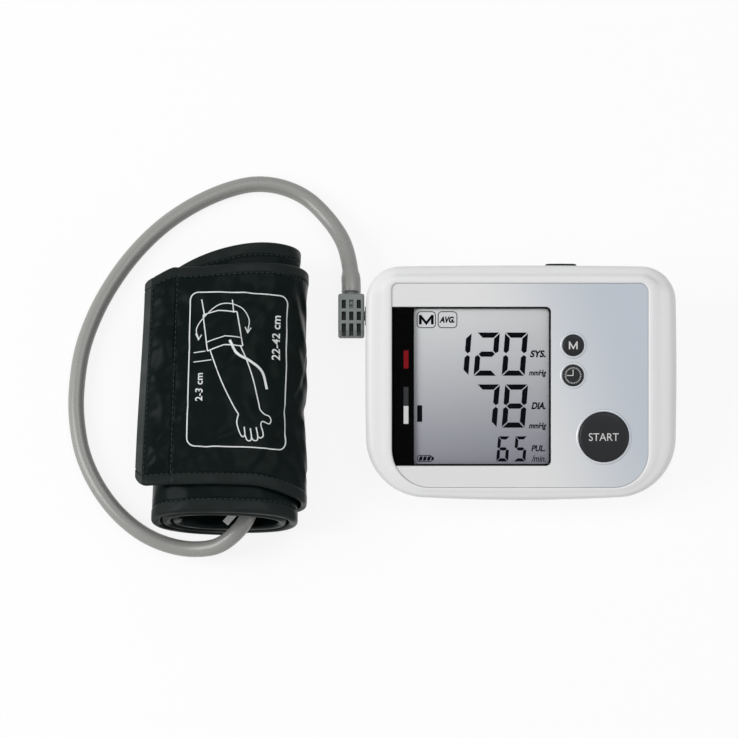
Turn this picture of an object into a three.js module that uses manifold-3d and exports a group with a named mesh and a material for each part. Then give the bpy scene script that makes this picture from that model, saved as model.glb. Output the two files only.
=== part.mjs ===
// A desk-top blood pressure monitor joined by an air hose to its rolled upper-arm cuff.
// Millimetres, +Z up. The monitor stands on four feet at the right and the cuff lies at the left.
// The front panel leans towards -Y, and everything under it is placed in the panel's own leaning frame:
// s to the right, t up the slope and n out of the panel, with n = 0 on the panel's surface.
import * as THREE from "three";
import { mergeVertices } from "three/addons/utils/BufferGeometryUtils.js";
import Module from "manifold-3d";

const wasm = await Module();
wasm.setup();

// Clearances
const seatGap = 0.3; // between pieces that seat on each other
const slideGap = 0.35; // round a button in its hole
const past = 1; // how far a cutter reaches past the face it opens
const far = 200; // outside everything

// Case
const caseWidth = 160.5;
const caseLength = 119.7; // along the slope of the panel
const panelTilt = 16; // degrees
const caseRadii = { fl: 31, fr: 31, rr: 18, rl: 18 };
const caseBow = { front: 1.3, rear: 0.5, side: 0.4 };
const wall = 2.2;
const footDrop = 1.5; // clear height under the case
const skirtDrop = 6; // from the panel's surface to the case's widest line
const sideDraft = 3; // how far the base lies inside the widest line at each side
const frontDraft = 9;
const rearDraft = 1.2;
const baseRound = 2.2;
const baseRadii = { fl: 27, fr: 27, rr: 16, rl: 16 };
const partingHeight = 12; // where the upper and lower shells meet
const lipHeight = 2.2;
const lipWall = 1.1;
const lipRoot = { depth: 2, top: 0.4 }; // under the parting plane

// Front panel and the raised bezel round it
const borderLeft = 13.4;
const borderRight = 14.4;
const borderRear = 8.8;
const borderFront = 5.2;
const panelRadii = { fl: 20, fr: 18, rr: 4.6, rl: 3.2 };
const panelThickness = 2.4;
const panelLedge = 4; // width of the ledge that carries the panel
const bezelRise = 0.9;
const bezelRing = 0.15; // between the panel's edge and the bezel wall

// Display window, its recess and the LCD under it
const controlsWidth = 50.4; // of the panel at the right of the window
const lensFromRear = 12.2; // from the panel's rear edge
const lensFromFront = 11.2;
const lensThickness = 1;
const lensCorner = 2.6;
const lensRing = 0.15; // round the window in its recess
const maskWidth = 11.4; // dark printed band at the window's left
const lcdRim = 1.4; // how far the panel reaches under the window's edge
const lcdThickness = 2.6;
const lcdOverlap = 2.4; // how far the LCD reaches past its opening
const holderWall = 1.6;
const holderLedge = 3; // under the LCD's edge
const connector = { fromSide: 8, width: 2 };

// Circuit board
const boardDepth = 11; // from the panel's surface down to the board
const boardThickness = 1.6;
const boardToBay = 1.5; // over the battery bay's front edge: it sets the panel's height
const boardInset = 5;
const boardFrontInset = 12;
const boardRearInset = 9;
const boardRadii = { fl: 8, fr: 8, rr: 2, rl: 2 };
const chip = { size: 10, height: 1.4, fromRight: 18, toBay: 3.2 };
const buzzer = { radius: 6, height: 4, fromRight: 22, fromFront: 30 };
const sensorSize = { width: 8, height: 3, portRadius: 1.4, portLength: 2.5 };

// Buttons: place from the panel's edges
const startButton = { fromRight: 23, fromFront: 26.1, radius: 12.95, rise: 1.6, dome: 1.1 };
const memoryButton = { fromRight: 38.8, fromRear: 32.1, radius: 5.45, rise: 1.3, dome: 0.6 };
const clockButton = { fromRight: 38.9, fromRear: 47.7, radius: 5.45, rise: 1.3, dome: 0.6 };
const buttonTravel = 0.9;
const flangeWidth = 1.4;
const flangeThickness = 0.9;
const stemRadius = 2.2;
const switchSize = 6.2;
const switchHeight = 4;
const switchDome = { radius: 1.7, height: 0.8 };

// Cells and their bay
const cellRadius = 7.1;
const cellLength = 50;
const cellCount = 4;
const cellGap = 0.4;
const cellNub = { radius: 2.7, length: 1 };
const contactRoom = 3; // at each end of a cell
const contactWidth = 11;
const contactThickness = 0.5;
const contactButton = 2.4; // radius
const springCoil = { turns: 2.5, wire: 0.35, plateRadius: 4.6, cellRadius: 2.2 };
const bayFromLeft = 26.4; // from the base's left edge
const bayFromRear = 11.1; // from the case's widest rear line
const bayWall = 1.8;
const doorThickness = 1.8;
const doorOverlap = 2.4; // of the door over the bay's edge
const doorRibs = { count: 5, width: 18, length: 1, pitch: 2.4, depth: 0.5, fromBay: 6 };

// Air path inside the monitor
const socketFromRear = 18; // from the case's widest rear line
const socketHeight = 18;
const socketInset = 0.6; // of the socket's face behind the case's widest line
const socketBore = 2.9; // radius
const socketBarrel = { radius: 4.4, length: 5 };
const socketFlange = { radius: 6.4, thickness: 1.5 };
const socketBarb = { radius: 2.1, length: 3 };
const socketDrill = 0.9; // radius
const socketPad = { rim: 2, depth: 6 };
const tubeRadius = 2.4;
const nippleRadius = 1.5;
const nippleLength = 4;
const tubeLead = 5; // straight stretch at a nipple
const socketTube = { stub: 2.5, overWall: 0.6, rise: 3.2, overBay: 8, sag: 1 };
const pumpTube = { lead: 3, aside: 4 };
const manifold = { width: 10, depth: 8, height: 7.6, nipple: 4.4, fromSocket: 5 };
const valve = { width: 14, depth: 15, height: 7.5 };
const pumpRadius = 12;
const pumpHeadLength = 17;
const pumpFromBay = 4.2;
const pumpFromRear = 27;
const pumpFromFloor = 1;
const pumpToBoss = 0.8;
const pumpNipple = { aside: 2, up: 6.6 }; // from the pump's axis
const bearing = { radius: 4, length: 1.6 };
const cradleThickness = 2;
const cradleInset = 10; // from the pump's ends

// Fasteners and feet
const screwRadius = 1.5;
const screwHead = { radius: 2.7, height: 1.8 };
const screwPoint = 1;
const screwToLedge = 2.4; // between a front screw's point and the panel's ledge
const bossRadius = 3.6;
const lowBossRadius = 4.2;
const bossInset = 0.8; // of the upper bosses in the case's outer face
const screwSink = 5; // depth of the screw head in the base
const frontScrew = { fromSide: 15, fromFront: 22 };
const rearScrew = { fromSide: 11.4, fromRear: 35 };
const footRadius = 5;
const footSink = 0.8;
const footChamfer = 0.6;
const footSpot = { frontFromSide: 25, rearFromSide: 14.5, fromFront: 15, fromRear: 13 };

// Power socket and its cover at the rear
const portFromCentre = 20.7;
const portUnderPanel = 3.3; // between the power socket and the panel
const portInset = 0.4; // of the power socket's face in the rear wall
const portWidth = 10;
const portTall = 8.6;
const jackDepth = 12;
const jackBore = { radius: 2.9, depth: 9 };
const jackPin = { radius: 0.9, inset: 1 };
const coverWidth = 16.5;
const coverTall = 14.5;
const coverThickness = 1.3;
const coverPlug = { gap: 0.6, reach: 0.2 };
const coverPull = { width: 6, height: 1.2, fromTop: 0.4, rise: 0.5 };
const hingeRadius = 0.9;

// Plug of the air hose
const plugWidth = 13.6;
const plugLength = 20.7;
const plugHeight = 14;
const plugRound = 1.6;
const plugToCase = 0.9; // between the plug and the case's widest line
const plugGrid = 3;
const plugPocket = { width: 2.6, length: 4.6, depth: 1.3, pitchX: 3.9, pitchY: 6.3 };
const nozzleRadius = 2.45;
const nozzleSeat = 4; // in the plug
const nozzleInsert = 4.5; // in the socket
const nozzleDrill = 1.1; // radius
const collar = { radius: 5, thickness: 0.5 };
const neckRadius = 3.4;
const neckLength = 1.8;

// Hose
const hoseRadius = 4.15;
const hoseSides = 10;
const hoseSteps = 44;

// Cuff
const sleeveWidth = 144.5;
const flapWidth = 117;
const sleeveThickness = 4.8;
const flapThickness = 3;
const sleeveEdge = 1.8; // rounding of the sleeve's two edges
const flapEdge = 1.4;
const flapGap = 0.9; // between the flap and the layer under it
const layerGap = 0.6; // between two turns of the sleeve
const endGap = 0.004; // turns between the flap's end and the sleeve's
const rollWidth = 81;
const rollHeight = 51;
const rollSquareness = 2.5; // 2 is an ellipse, more is squarer
const rollTurns = 2.85;
const flapTurns = 0.8;
const rollStart = 100; // degrees, where the flap leaves the roll
const stepsPerTurn = 28;
const tableCut = 0.5; // flat where the roll lies on the table
const cuffTurn = -1.3; // degrees about Z
const bladderThickness = 1.8;
const bladderWidth = 122;
const bladderTurns = { from: 1.15, to: 2.62, endGap: 0.01 };
const pocketMouth = { from: 1.5, to: 1.56, overlap: 2 };
const hookTapeWidth = 108;
const hookTapeThickness = 0.7;
const portSpot = { x: 13.5, fromEdge: 26.5, height: 19.6, reach: 5 };
const portElbow = { flange: 5.4, flangeThickness: 1.2, stem: 2.6, body: 4, crown: 2 };
const portBarb = { radius: 3.2, collar: 4, collarReach: 3 };
const tagSize = { width: 8.6, length: 6, thickness: 0.5 };
const tagSpot = { x: -0.2, fromEdge: 3 };

const fromDegrees = THREE.MathUtils.degToRad;
const tilt = fromDegrees(panelTilt);
const sinTilt = Math.sin(tilt);
const cosTilt = Math.cos(tilt);

const part = new THREE.Group();
const monitor = new THREE.Group();
const face = new THREE.Group();
const cuff = new THREE.Group();
const monitorX = 59.7;
const cuffX = -91.2;
monitor.position.x = monitorX;
cuff.position.x = cuffX;
cuff.rotation.z = fromDegrees(cuffTurn);
monitor.add(face);
part.add(monitor, cuff);

// Materials, one for each kind of surface
function finish(color, roughness, metalness = 0) {
  return new THREE.MeshStandardMaterial({ color, roughness, metalness });
}
const looks = {
  whitePlastic: finish(0xf2f3f4, 0.35),
  silverPanel: finish(0xc9cdd1, 0.38, 0.5),
  windowGlass: finish(0x9a9aa0, 0.08),
  lcd: finish(0xa9a8ad, 0.3),
  darkPlastic: finish(0x2c2d31, 0.45),
  greyPlastic: finish(0x8d918f, 0.5),
  board: finish(0x1f5b34, 0.6),
  steel: finish(0xb9bcc0, 0.3, 1),
  cellJacket: finish(0x3a3d44, 0.35, 0.3),
  rubber: finish(0x2a2a2c, 0.8),
  hose: finish(0x8e9092, 0.55),
  clearTube: finish(0xd9dcda, 0.3),
  cloth: finish(0x17171a, 0.85),
  tape: finish(0x101012, 0.95),
  bladder: finish(0x55585c, 0.6),
  tag: finish(0xececec, 0.8),
};

function add(parent, name, solid, look) {
  const mesh = new THREE.Mesh(solid.isBufferGeometry ? solid : geometryOf(solid), looks[look]);
  mesh.name = name;
  parent.add(mesh);
  return mesh;
}

// From a closed three.js geometry to a solid that can be cut and joined, and back
function solidOf(geometry) {
  const bare = geometry.clone();
  bare.deleteAttribute("normal");
  bare.deleteAttribute("uv");
  const merged = mergeVertices(bare, 1e-4);
  return new wasm.Manifold(
    new wasm.Mesh({
      numProp: 3,
      vertProperties: merged.attributes.position.array,
      triVerts: new Uint32Array(merged.index.array),
    }),
  );
}

function geometryOf(solid) {
  const mesh = solid.getMesh();
  const geometry = new THREE.BufferGeometry();
  geometry.setAttribute("position", new THREE.BufferAttribute(mesh.vertProperties, 3));
  geometry.setIndex(new THREE.BufferAttribute(mesh.triVerts, 1));
  geometry.computeVertexNormals();
  return geometry;
}

const join = (first, ...others) => others.reduce((sum, other) => sum.add(other), first);
const cut = (first, ...others) => others.reduce((rest, other) => rest.subtract(other), first);

function box(x0, x1, y0, y1, z0, z1) {
  const geometry = new THREE.BoxGeometry(x1 - x0, y1 - y0, z1 - z0);
  return solidOf(geometry.translate((x0 + x1) / 2, (y0 + y1) / 2, (z0 + z1) / 2));
}

// A round bar along Z
function rod(x, y, radius, z0, z1, sides = 24) {
  const geometry = new THREE.CylinderGeometry(radius, radius, z1 - z0, sides);
  return solidOf(geometry.rotateX(Math.PI / 2).translate(x, y, (z0 + z1) / 2));
}

// A round bar along X
function rodAlongX(y, z, radius, x0, x1, sides = 24) {
  const geometry = new THREE.CylinderGeometry(radius, radius, x1 - x0, sides);
  return solidOf(geometry.rotateZ(Math.PI / 2).translate((x0 + x1) / 2, y, z));
}

// A round bar along Y
function rodAlongY(x, z, radius, y0, y1, sides = 24) {
  const geometry = new THREE.CylinderGeometry(radius, radius, y1 - y0, sides);
  return solidOf(geometry.translate(x, (y0 + y1) / 2, z));
}

// A turned piece about Z, from its profile of [radius, height] points
function turned(profile, sides = 32) {
  const points = profile.map(([radius, height]) => new THREE.Vector2(radius, height));
  return solidOf(new THREE.LatheGeometry(points, sides).rotateX(Math.PI / 2));
}

function extruded(shape, z0, z1, curveSegments = 8) {
  const options = { depth: z1 - z0, bevelEnabled: false, curveSegments };
  return solidOf(new THREE.ExtrudeGeometry(shape, options).translate(0, 0, z0));
}

// A tube or rod of a round section along a curve
function tube(points, radius, steps, sides, name = "catmullrom") {
  const section = Array.from({ length: sides }, (_, i) => {
    const angle = (2 * Math.PI * i) / sides;
    return new THREE.Vector2(radius * Math.cos(angle), radius * Math.sin(angle));
  });
  const curve = new THREE.CatmullRomCurve3(points, false, name);
  const options = { steps, extrudePath: curve, bevelEnabled: false };
  return new THREE.ExtrudeGeometry(new THREE.Shape(section), options);
}

// Case outlines: rectangles with their own radius at each corner, always with as many points
const cornerSteps = 6;
const edgeSteps = 4;
const corners = ["fl", "fr", "rr", "rl"];

function outline({ left, right, front, rear, radii, bow = { front: 0, rear: 0, side: 0 } }) {
  const centres = {
    fl: [left + radii.fl, front + radii.fl],
    fr: [right - radii.fr, front + radii.fr],
    rr: [right - radii.rr, rear - radii.rr],
    rl: [left + radii.rl, rear - radii.rl],
  };
  const bulge = [
    [0, -bow.front],
    [bow.side, 0],
    [0, bow.rear],
    [-bow.side, 0],
  ];
  const points = [];
  corners.forEach((corner, i) => {
    const [cx, cy] = centres[corner];
    for (let k = 0; k <= cornerSteps; k++) {
      const angle = Math.PI + (Math.PI / 2) * (i + k / cornerSteps);
      const radius = radii[corner];
      points.push(new THREE.Vector2(cx + radius * Math.cos(angle), cy + radius * Math.sin(angle)));
    }
    const start = points[points.length - 1];
    const next = corners[(i + 1) % 4];
    const nextAngle = Math.PI + (Math.PI / 2) * (i + 1);
    const end = new THREE.Vector2(
      centres[next][0] + radii[next] * Math.cos(nextAngle),
      centres[next][1] + radii[next] * Math.sin(nextAngle),
    );
    for (let k = 1; k < edgeSteps; k++) {
      const u = k / edgeSteps;
      const swell = 1 - (2 * u - 1) ** 2;
      const point = start.clone().lerp(end, u);
      points.push(point.add(new THREE.Vector2(...bulge[i]).multiplyScalar(swell)));
    }
  });
  return points;
}

const leastRadius = 0.6;
function shrunk(edges, by) {
  const radii = {};
  for (const corner of corners) radii[corner] = Math.max(edges.radii[corner] - by, leastRadius);
  return {
    ...edges,
    left: edges.left + by,
    right: edges.right - by,
    front: edges.front + by,
    rear: edges.rear - by,
    radii,
  };
}

// A closed solid through rings of matched points, with fans over its first and last ring
function loft(rings) {
  const count = rings[0].length;
  const vertices = rings.flat();
  const triangles = [];
  const middles = [rings[0], rings[rings.length - 1]].map((ring) =>
    ring.reduce((sum, point) => sum.add(point), new THREE.Vector3()).divideScalar(count),
  );
  vertices.push(...middles);
  const last = (rings.length - 1) * count;
  for (let i = 0; i < count; i++) {
    const j = (i + 1) % count;
    for (let r = 0; r < rings.length - 1; r++) {
      const a = r * count;
      const b = a + count;
      triangles.push(a + i, b + i, b + j, a + i, b + j, a + j);
    }
    triangles.push(vertices.length - 2, i, j, vertices.length - 1, last + j, last + i);
  }
  const geometry = new THREE.BufferGeometry().setFromPoints(vertices);
  geometry.setIndex(triangles);
  return solidOf(geometry);
}

// Places in the panel's frame: y on the table, and height over the table from y and n
const halfWidth = caseWidth / 2;
const halfLength = caseLength / 2;
const seatDepth = panelThickness + seatGap;
const faceY = (t, n) => t * cosTilt - n * sinTilt;
const faceT = (y, n) => (y + n * sinTilt) / cosTilt;
const rearWall = faceY(halfLength, -skirtDrop);
const frontWall = faceY(-halfLength, -skirtDrop);

// Case edges in the panel's frame and on the table
const caseEdges = {
  left: -halfWidth,
  right: halfWidth,
  front: -halfLength,
  rear: halfLength,
  radii: caseRadii,
  bow: caseBow,
};
const panelEdges = {
  left: -halfWidth + borderLeft,
  right: halfWidth - borderRight,
  front: -halfLength + borderFront,
  rear: halfLength - borderRear,
  radii: panelRadii,
};
const baseEdges = {
  left: -halfWidth + sideDraft,
  right: halfWidth - sideDraft,
  front: frontWall + frontDraft,
  rear: rearWall - rearDraft,
  radii: baseRadii,
};

// Battery bay and its door
const doorTop = footDrop + doorThickness;
const bay = {
  left: baseEdges.left + bayFromLeft,
  rear: rearWall - bayFromRear,
  floor: doorTop + seatGap,
};
bay.right = bay.left + cellCount * 2 * cellRadius + (cellCount + 1) * cellGap;
bay.front = bay.rear - cellLength - 2 * contactRoom;
bay.ceiling = bay.floor + 2 * cellRadius + cellGap;
bay.middle = (bay.left + bay.right) / 2;
const door = {
  left: bay.left - doorOverlap,
  right: bay.right + doorOverlap,
  front: bay.front - doorOverlap,
};

// The panel lies as high as the board needs to clear the bay's front edge
const boardLow = -boardDepth - boardThickness;
const bayEdge = { y: bay.front - bayWall, z: bay.ceiling + bayWall };
const faceHeight = bayEdge.z + boardToBay - (boardLow + bayEdge.y * sinTilt) / cosTilt;
face.position.z = faceHeight;
face.rotation.x = tilt;
const faceZ = (y, n) => faceHeight + (n + y * sinTilt) / cosTilt;
const facePoint = (s, t, n) => new THREE.Vector3(s, faceY(t, n), faceHeight + t * sinTilt + n * cosTilt);

// From the panel's edge to the widest line: how far out (0 to 1) and how high over the panel
const bezelProfile = [
  [0, bezelRise - 0.4],
  [0.07, bezelRise],
  [0.2, bezelRise - 0.15],
  [0.42, -0.7],
  [0.6, -1.7],
  [0.7, -1.9],
  [0.84, -2.3],
  [0.95, -3.7],
  [1, -skirtDrop],
];

function caseRings(profile, inset) {
  const outer = outline(shrunk(caseEdges, inset));
  const inner = outline(shrunk(panelEdges, -bezelRing));
  const base = outline(shrunk(baseEdges, inset));
  const low = outline(shrunk(baseEdges, inset + baseRound));
  const rings = profile.map(([outward, height]) =>
    inner.map((point, i) => {
      const p = point.clone().lerp(outer[i], outward);
      return facePoint(p.x, p.y, height);
    }),
  );
  const widest = rings[rings.length - 1];
  const floor = footDrop + inset;
  const foot = base.map((p) => new THREE.Vector3(p.x, p.y, floor + baseRound));
  const sole = low.map((p) => new THREE.Vector3(p.x, p.y, floor));
  for (const u of [0.35, 0.7]) rings.push(widest.map((point, i) => point.clone().lerp(foot[i], u)));
  rings.push(foot);
  // Half way round the base's edge
  const turnOut = 0.7;
  const turnUp = 0.3;
  rings.push(foot.map((p, i) => {
    const turn = sole[i].clone().lerp(p, turnOut);
    return turn.setZ(floor + baseRound * turnUp);
  }));
  rings.push(sole);
  return rings;
}

const caseOuter = loft(caseRings(bezelProfile, 0));
const innerFlat = 0.7; // share of the border's width at which the ceiling of the shell's inside ends
const innerDrop = 2;
const innerProfile = (depth) => [
  [0, -seatDepth - depth],
  [innerFlat, -seatDepth - depth],
  [1, -skirtDrop - depth - innerDrop],
];
const inside = (inset) => loft(caseRings(innerProfile(inset), inset));

// Solids made in the panel's frame, laid into the monitor's frame
function toMonitor(solid) {
  return solid.rotate([panelTilt, 0, 0]).translate([0, 0, faceHeight]);
}

function outlineShape(edges) {
  return new THREE.Shape(outline(edges));
}

// A box round a middle point
function block(x, y, z, width, length, height) {
  return box(x - width / 2, x + width / 2, y - length / 2, y + length / 2, z - height / 2, z + height / 2);
}

// Screw and foot places, mirrored to both sides
const screwSpots = {};
const footSpots = {};
for (const [side, sign] of Object.entries({ left: -1, right: 1 })) {
  const fromSide = (distance) => sign * (halfWidth - distance);
  screwSpots["front_" + side] = [fromSide(frontScrew.fromSide), frontWall + frontScrew.fromFront];
  screwSpots["rear_" + side] = [fromSide(rearScrew.fromSide), rearWall - rearScrew.fromRear];
  footSpots["front_" + side] = [fromSide(footSpot.frontFromSide), baseEdges.front + footSpot.fromFront];
  footSpots["rear_" + side] = [fromSide(footSpot.rearFromSide), baseEdges.rear - footSpot.fromRear];
}
const screwSeat = footDrop + screwSink;
const ledgeOverScrew = faceZ(frontWall + frontScrew.fromFront, -seatDepth);
const screwLength = ledgeOverScrew - screwToLedge - screwSeat;

// Air socket place on the left wall
const socketY = rearWall - socketFromRear;
const socketFace = -halfWidth + socketInset;
const socketBack = socketFace + socketFlange.thickness;

// Pump place: right of the bay, its motor as long as the room up to the screw boss
const pump = {
  left: bay.right + bayWall + pumpFromBay,
  y: rearWall - pumpFromRear,
  z: footDrop + wall + pumpRadius + pumpFromFloor,
};
pump.split = pump.left + pumpHeadLength;
pump.right = screwSpots.rear_right[0] - lowBossRadius - pumpToBoss - bearing.length;
pump.cradles = [pump.left + cradleInset, pump.right - cradleInset];

// Power socket place at the rear
const widestZ = facePoint(0, halfLength, -skirtDrop).z;
const rearSlope = rearDraft / (widestZ - footDrop - baseRound);
const rearAt = (z) => rearWall - rearSlope * (widestZ - z);
const portHeight = faceZ(rearWall - jackDepth, -seatDepth) - portUnderPanel - portTall / 2;
const coverY = rearWall + seatGap + caseBow.rear;

function makeCase() {
  const upper = box(-far, far, -far, far, partingHeight + seatGap / 2, far);
  const lower = box(-far, far, -far, far, -far, partingHeight - seatGap / 2);
  const hollow = inside(wall);
  add(monitor, "top_housing", makeTop(upper, hollow), "whitePlastic");
  add(monitor, "bottom_housing", makeBase(lower, hollow), "whitePlastic");
}

const screwHole = ([x, y]) =>
  rod(x, y, screwRadius + seatGap, footDrop - past, screwSeat + screwLength + seatGap, 16);

function makeTop(upper, hollow) {
  const pocket = toMonitor(extruded(outlineShape(shrunk(panelEdges, -bezelRing)), -seatDepth, far));
  const opening = toMonitor(extruded(outlineShape(shrunk(panelEdges, panelLedge)), -far, far));
  const padBack = socketFace + socketPad.depth;
  const seatEnd = socketBack + seatGap;
  const socketHole = join(
    rodAlongX(socketY, socketHeight, socketBarrel.radius + seatGap, -far, padBack + past),
    rodAlongX(socketY, socketHeight, socketFlange.radius + seatGap, -far, seatEnd),
  );
  const pad = rodAlongX(socketY, socketHeight, socketFlange.radius + socketPad.rim, seatEnd, padBack);
  const portHole = block(
    portFromCentre, rearWall, portHeight, portWidth + 2 * seatGap, 2 * jackDepth, portTall + 2 * seatGap,
  );
  const shell = cut(caseOuter.intersect(upper), hollow);
  const bossRoom = inside(bossInset).intersect(upper);
  const bosses = Object.values(screwSpots).map(([x, y]) => rod(x, y, bossRadius, 0, far).intersect(bossRoom));
  const solid = join(shell, pad.intersect(caseOuter).intersect(upper), ...bosses);
  return cut(solid, pocket, opening, socketHole, portHole, ...Object.values(screwSpots).map(screwHole));
}

// The lower shell's lip stands inside the upper shell
function makeLip() {
  const slab = (z0, z1) => box(-far, far, -far, far, z0, z1);
  const rootLow = partingHeight - lipRoot.depth;
  const root = inside(wall - seatGap).intersect(slab(rootLow, partingHeight - lipRoot.top));
  const blade = inside(wall + seatGap).intersect(slab(rootLow, partingHeight + lipHeight));
  const gaps = Object.values(screwSpots).map(([x, y]) =>
    rod(x, y, bossRadius + past, partingHeight - seatGap / 2, far),
  );
  const socketRoom = socketFlange.radius + socketPad.rim + past;
  const socketGap = rodAlongX(socketY, socketHeight, socketRoom, -far, bay.left - bayWall);
  return cut(join(blade, root), inside(wall + seatGap + lipWall), ...gaps, socketGap);
}

function makeBase(lower, hollow) {
  const floor = footDrop + wall / 2;
  const bosses = Object.values(screwSpots).map(([x, y]) =>
    rod(x, y, lowBossRadius, floor, partingHeight - seatGap / 2),
  );
  // Battery bay, open downwards, with the door's recess under it
  const round = (by, edges) => [edges.left - by, edges.right + by, edges.front - by];
  const bayBlock = box(...round(bayWall, bay), bay.rear + bayWall, floor, bay.ceiling + bayWall);
  const bayHollow = box(...round(0, bay), bay.rear, footDrop - past, bay.ceiling);
  const recess = box(...round(seatGap, door), far, footDrop - past, bay.floor);
  const recessRoof = box(...round(seatGap + bayWall, door), rearWall, floor, bay.floor + bayWall);
  const cradleTop = pump.z - pumpRadius * 0.35;
  const cradles = pump.cradles.map((x) =>
    block(x, pump.y, (floor + cradleTop) / 2, cradleThickness, pumpRadius * 1.6, cradleTop - floor),
  );
  const pumpRoom = rodAlongX(pump.y, pump.z, pumpRadius + seatGap, pump.left - past, pump.right + past, 40);
  const headHoles = Object.values(screwSpots).map(([x, y]) =>
    rod(x, y, screwHead.radius + seatGap, footDrop - past, screwSeat),
  );
  const footHoles = Object.values(footSpots).map(([x, y]) =>
    rod(x, y, footRadius + seatGap, footDrop - past, footDrop + footSink),
  );
  const shell = cut(caseOuter.intersect(lower), hollow);
  const solid = join(shell, makeLip(), ...bosses, bayBlock, recessRoof.intersect(caseOuter), ...cradles);
  const screwHoles = Object.values(screwSpots).map(screwHole);
  return cut(solid, bayHollow, recess, pumpRoom, ...headHoles, ...screwHoles, ...footHoles);
}

// Display window and panel
const lens = {
  left: panelEdges.left,
  right: panelEdges.right - controlsWidth,
  front: panelEdges.front + lensFromFront,
  rear: panelEdges.rear - lensFromRear,
};
const lensRadii = { fl: lensCorner, fr: lensCorner, rr: lensCorner, rl: lensCorner };
const lcdOpening = {
  left: lens.left + maskWidth + lcdRim,
  right: lens.right - lcdRim,
  front: lens.front + lcdRim,
  rear: lens.rear - lcdRim,
};
const buttonSpot = (button) => [
  panelEdges.right - button.fromRight,
  button.fromRear ? panelEdges.rear - button.fromRear : panelEdges.front + button.fromFront,
];

function makePanel() {
  const blank = extruded(outlineShape(panelEdges), -panelThickness, 0);
  // The window runs out over the panel's left edge, so its outline starts beyond it
  const windowEdges = { ...lens, left: lens.left - borderLeft / 2, radii: lensRadii };
  const windowBlank = (grow, z0, z1) => extruded(outlineShape(shrunk(windowEdges, -grow)), z0, z1);
  const recess = windowBlank(lensRing, -lensThickness - seatGap, far);
  const through = extruded(outlineShape({ ...lcdOpening, radii: lensRadii }), -far, far);
  const holes = [startButton, memoryButton, clockButton].map((button) =>
    rod(...buttonSpot(button), button.radius + slideGap, -panelThickness - past, past, 48),
  );
  add(face, "front_panel", cut(blank, recess, through, ...holes), "silverPanel");
  const whole = extruded(outlineShape(panelEdges), -lensThickness, 0);
  add(face, "display_window", windowBlank(0, -lensThickness, 0).intersect(whole), "windowGlass");
}

function makeDisplay() {
  const top = -seatDepth;
  const low = top - lcdThickness;
  const foot = -boardDepth + seatGap;
  // A box grown round the LCD opening
  const round = (by, z0, z1) =>
    box(lcdOpening.left - by, lcdOpening.right + by, lcdOpening.front - by, lcdOpening.rear + by, z0, z1);
  add(face, "lcd_glass", round(lcdOverlap, low, top), "lcd");
  const seat = lcdOverlap + seatGap;
  const walls = round(seat + holderWall, foot, top);
  const frame = cut(walls, round(seat, low - seatGap, far), round(lcdOverlap - holderLedge, -far, far));
  const room = extruded(outlineShape(shrunk(panelEdges, panelLedge + seatGap)), -far, far);
  add(face, "lcd_holder", frame.intersect(room), "whitePlastic");
  const stripFront = lcdOpening.front - lcdOverlap + holderLedge + seatGap;
  const strip = box(
    lcdOpening.left - lcdOverlap + connector.fromSide, lcdOpening.right + lcdOverlap - connector.fromSide,
    stripFront, stripFront + connector.width, foot, low - seatGap,
  );
  add(face, "lcd_connector", strip, "darkPlastic");
}

function makeBoard() {
  const edges = {
    left: panelEdges.left + boardInset,
    right: panelEdges.right - boardInset,
    front: panelEdges.front + boardFrontInset,
    rear: panelEdges.rear - boardRearInset,
    radii: boardRadii,
  };
  add(face, "circuit_board", extruded(outlineShape(edges), boardLow, -boardDepth), "board");
}

function makeButton(name, button, sidesRound) {
  const [x, y] = buttonSpot(button);
  const under = -seatDepth;
  const flange = button.radius + flangeWidth;
  const stemEnd = -boardDepth + switchHeight + seatGap + buttonTravel;
  // Out from the axis (share of the radius) and down from the crown (share of the dome)
  const domeCurve = [[0.975, 0.55], [0.91, 0.3], [0.6, 0.08]];
  const profile = [
    [0, stemEnd],
    [stemRadius, stemEnd],
    [stemRadius, under - flangeThickness],
    [flange, under - flangeThickness],
    [flange, under],
    [button.radius, under],
    [button.radius, button.rise - button.dome],
    ...domeCurve.map(([out, down]) => [button.radius * out, button.rise - button.dome * down]),
    [0, button.rise],
  ];
  const cap = turned(profile, sidesRound).translate([x, y, 0]);
  add(face, name + "_button", cap, "darkPlastic");
  const switchTop = -boardDepth + switchHeight;
  const bodyTop = switchTop - switchDome.height;
  const bodyLow = -boardDepth + seatGap;
  const body = join(
    block(x, y, (bodyLow + bodyTop) / 2, switchSize, switchSize, bodyTop - bodyLow),
    rod(x, y, switchDome.radius, bodyLow, switchTop, 16),
  );
  add(face, name + "_switch", body, "darkPlastic");
}

function makeBoardParts() {
  const under = boardLow - seatGap;
  const buzzerSpot = [panelEdges.right - buzzer.fromRight, panelEdges.front + buzzer.fromFront];
  add(face, "buzzer", rod(...buzzerSpot, buzzer.radius, under - buzzer.height, under), "darkPlastic");
  // The chip lies in front of the bay, where there is room for it
  const chipX = lcdOpening.right + lcdOverlap - chip.fromRight;
  const chipT = faceT(bayEdge.y - chip.toBay, under) - chip.size / 2;
  const chipBody = block(chipX, chipT, under - chip.height / 2, chip.size, chip.size, chip.height);
  add(face, "control_chip", chipBody, "darkPlastic");
}

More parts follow.
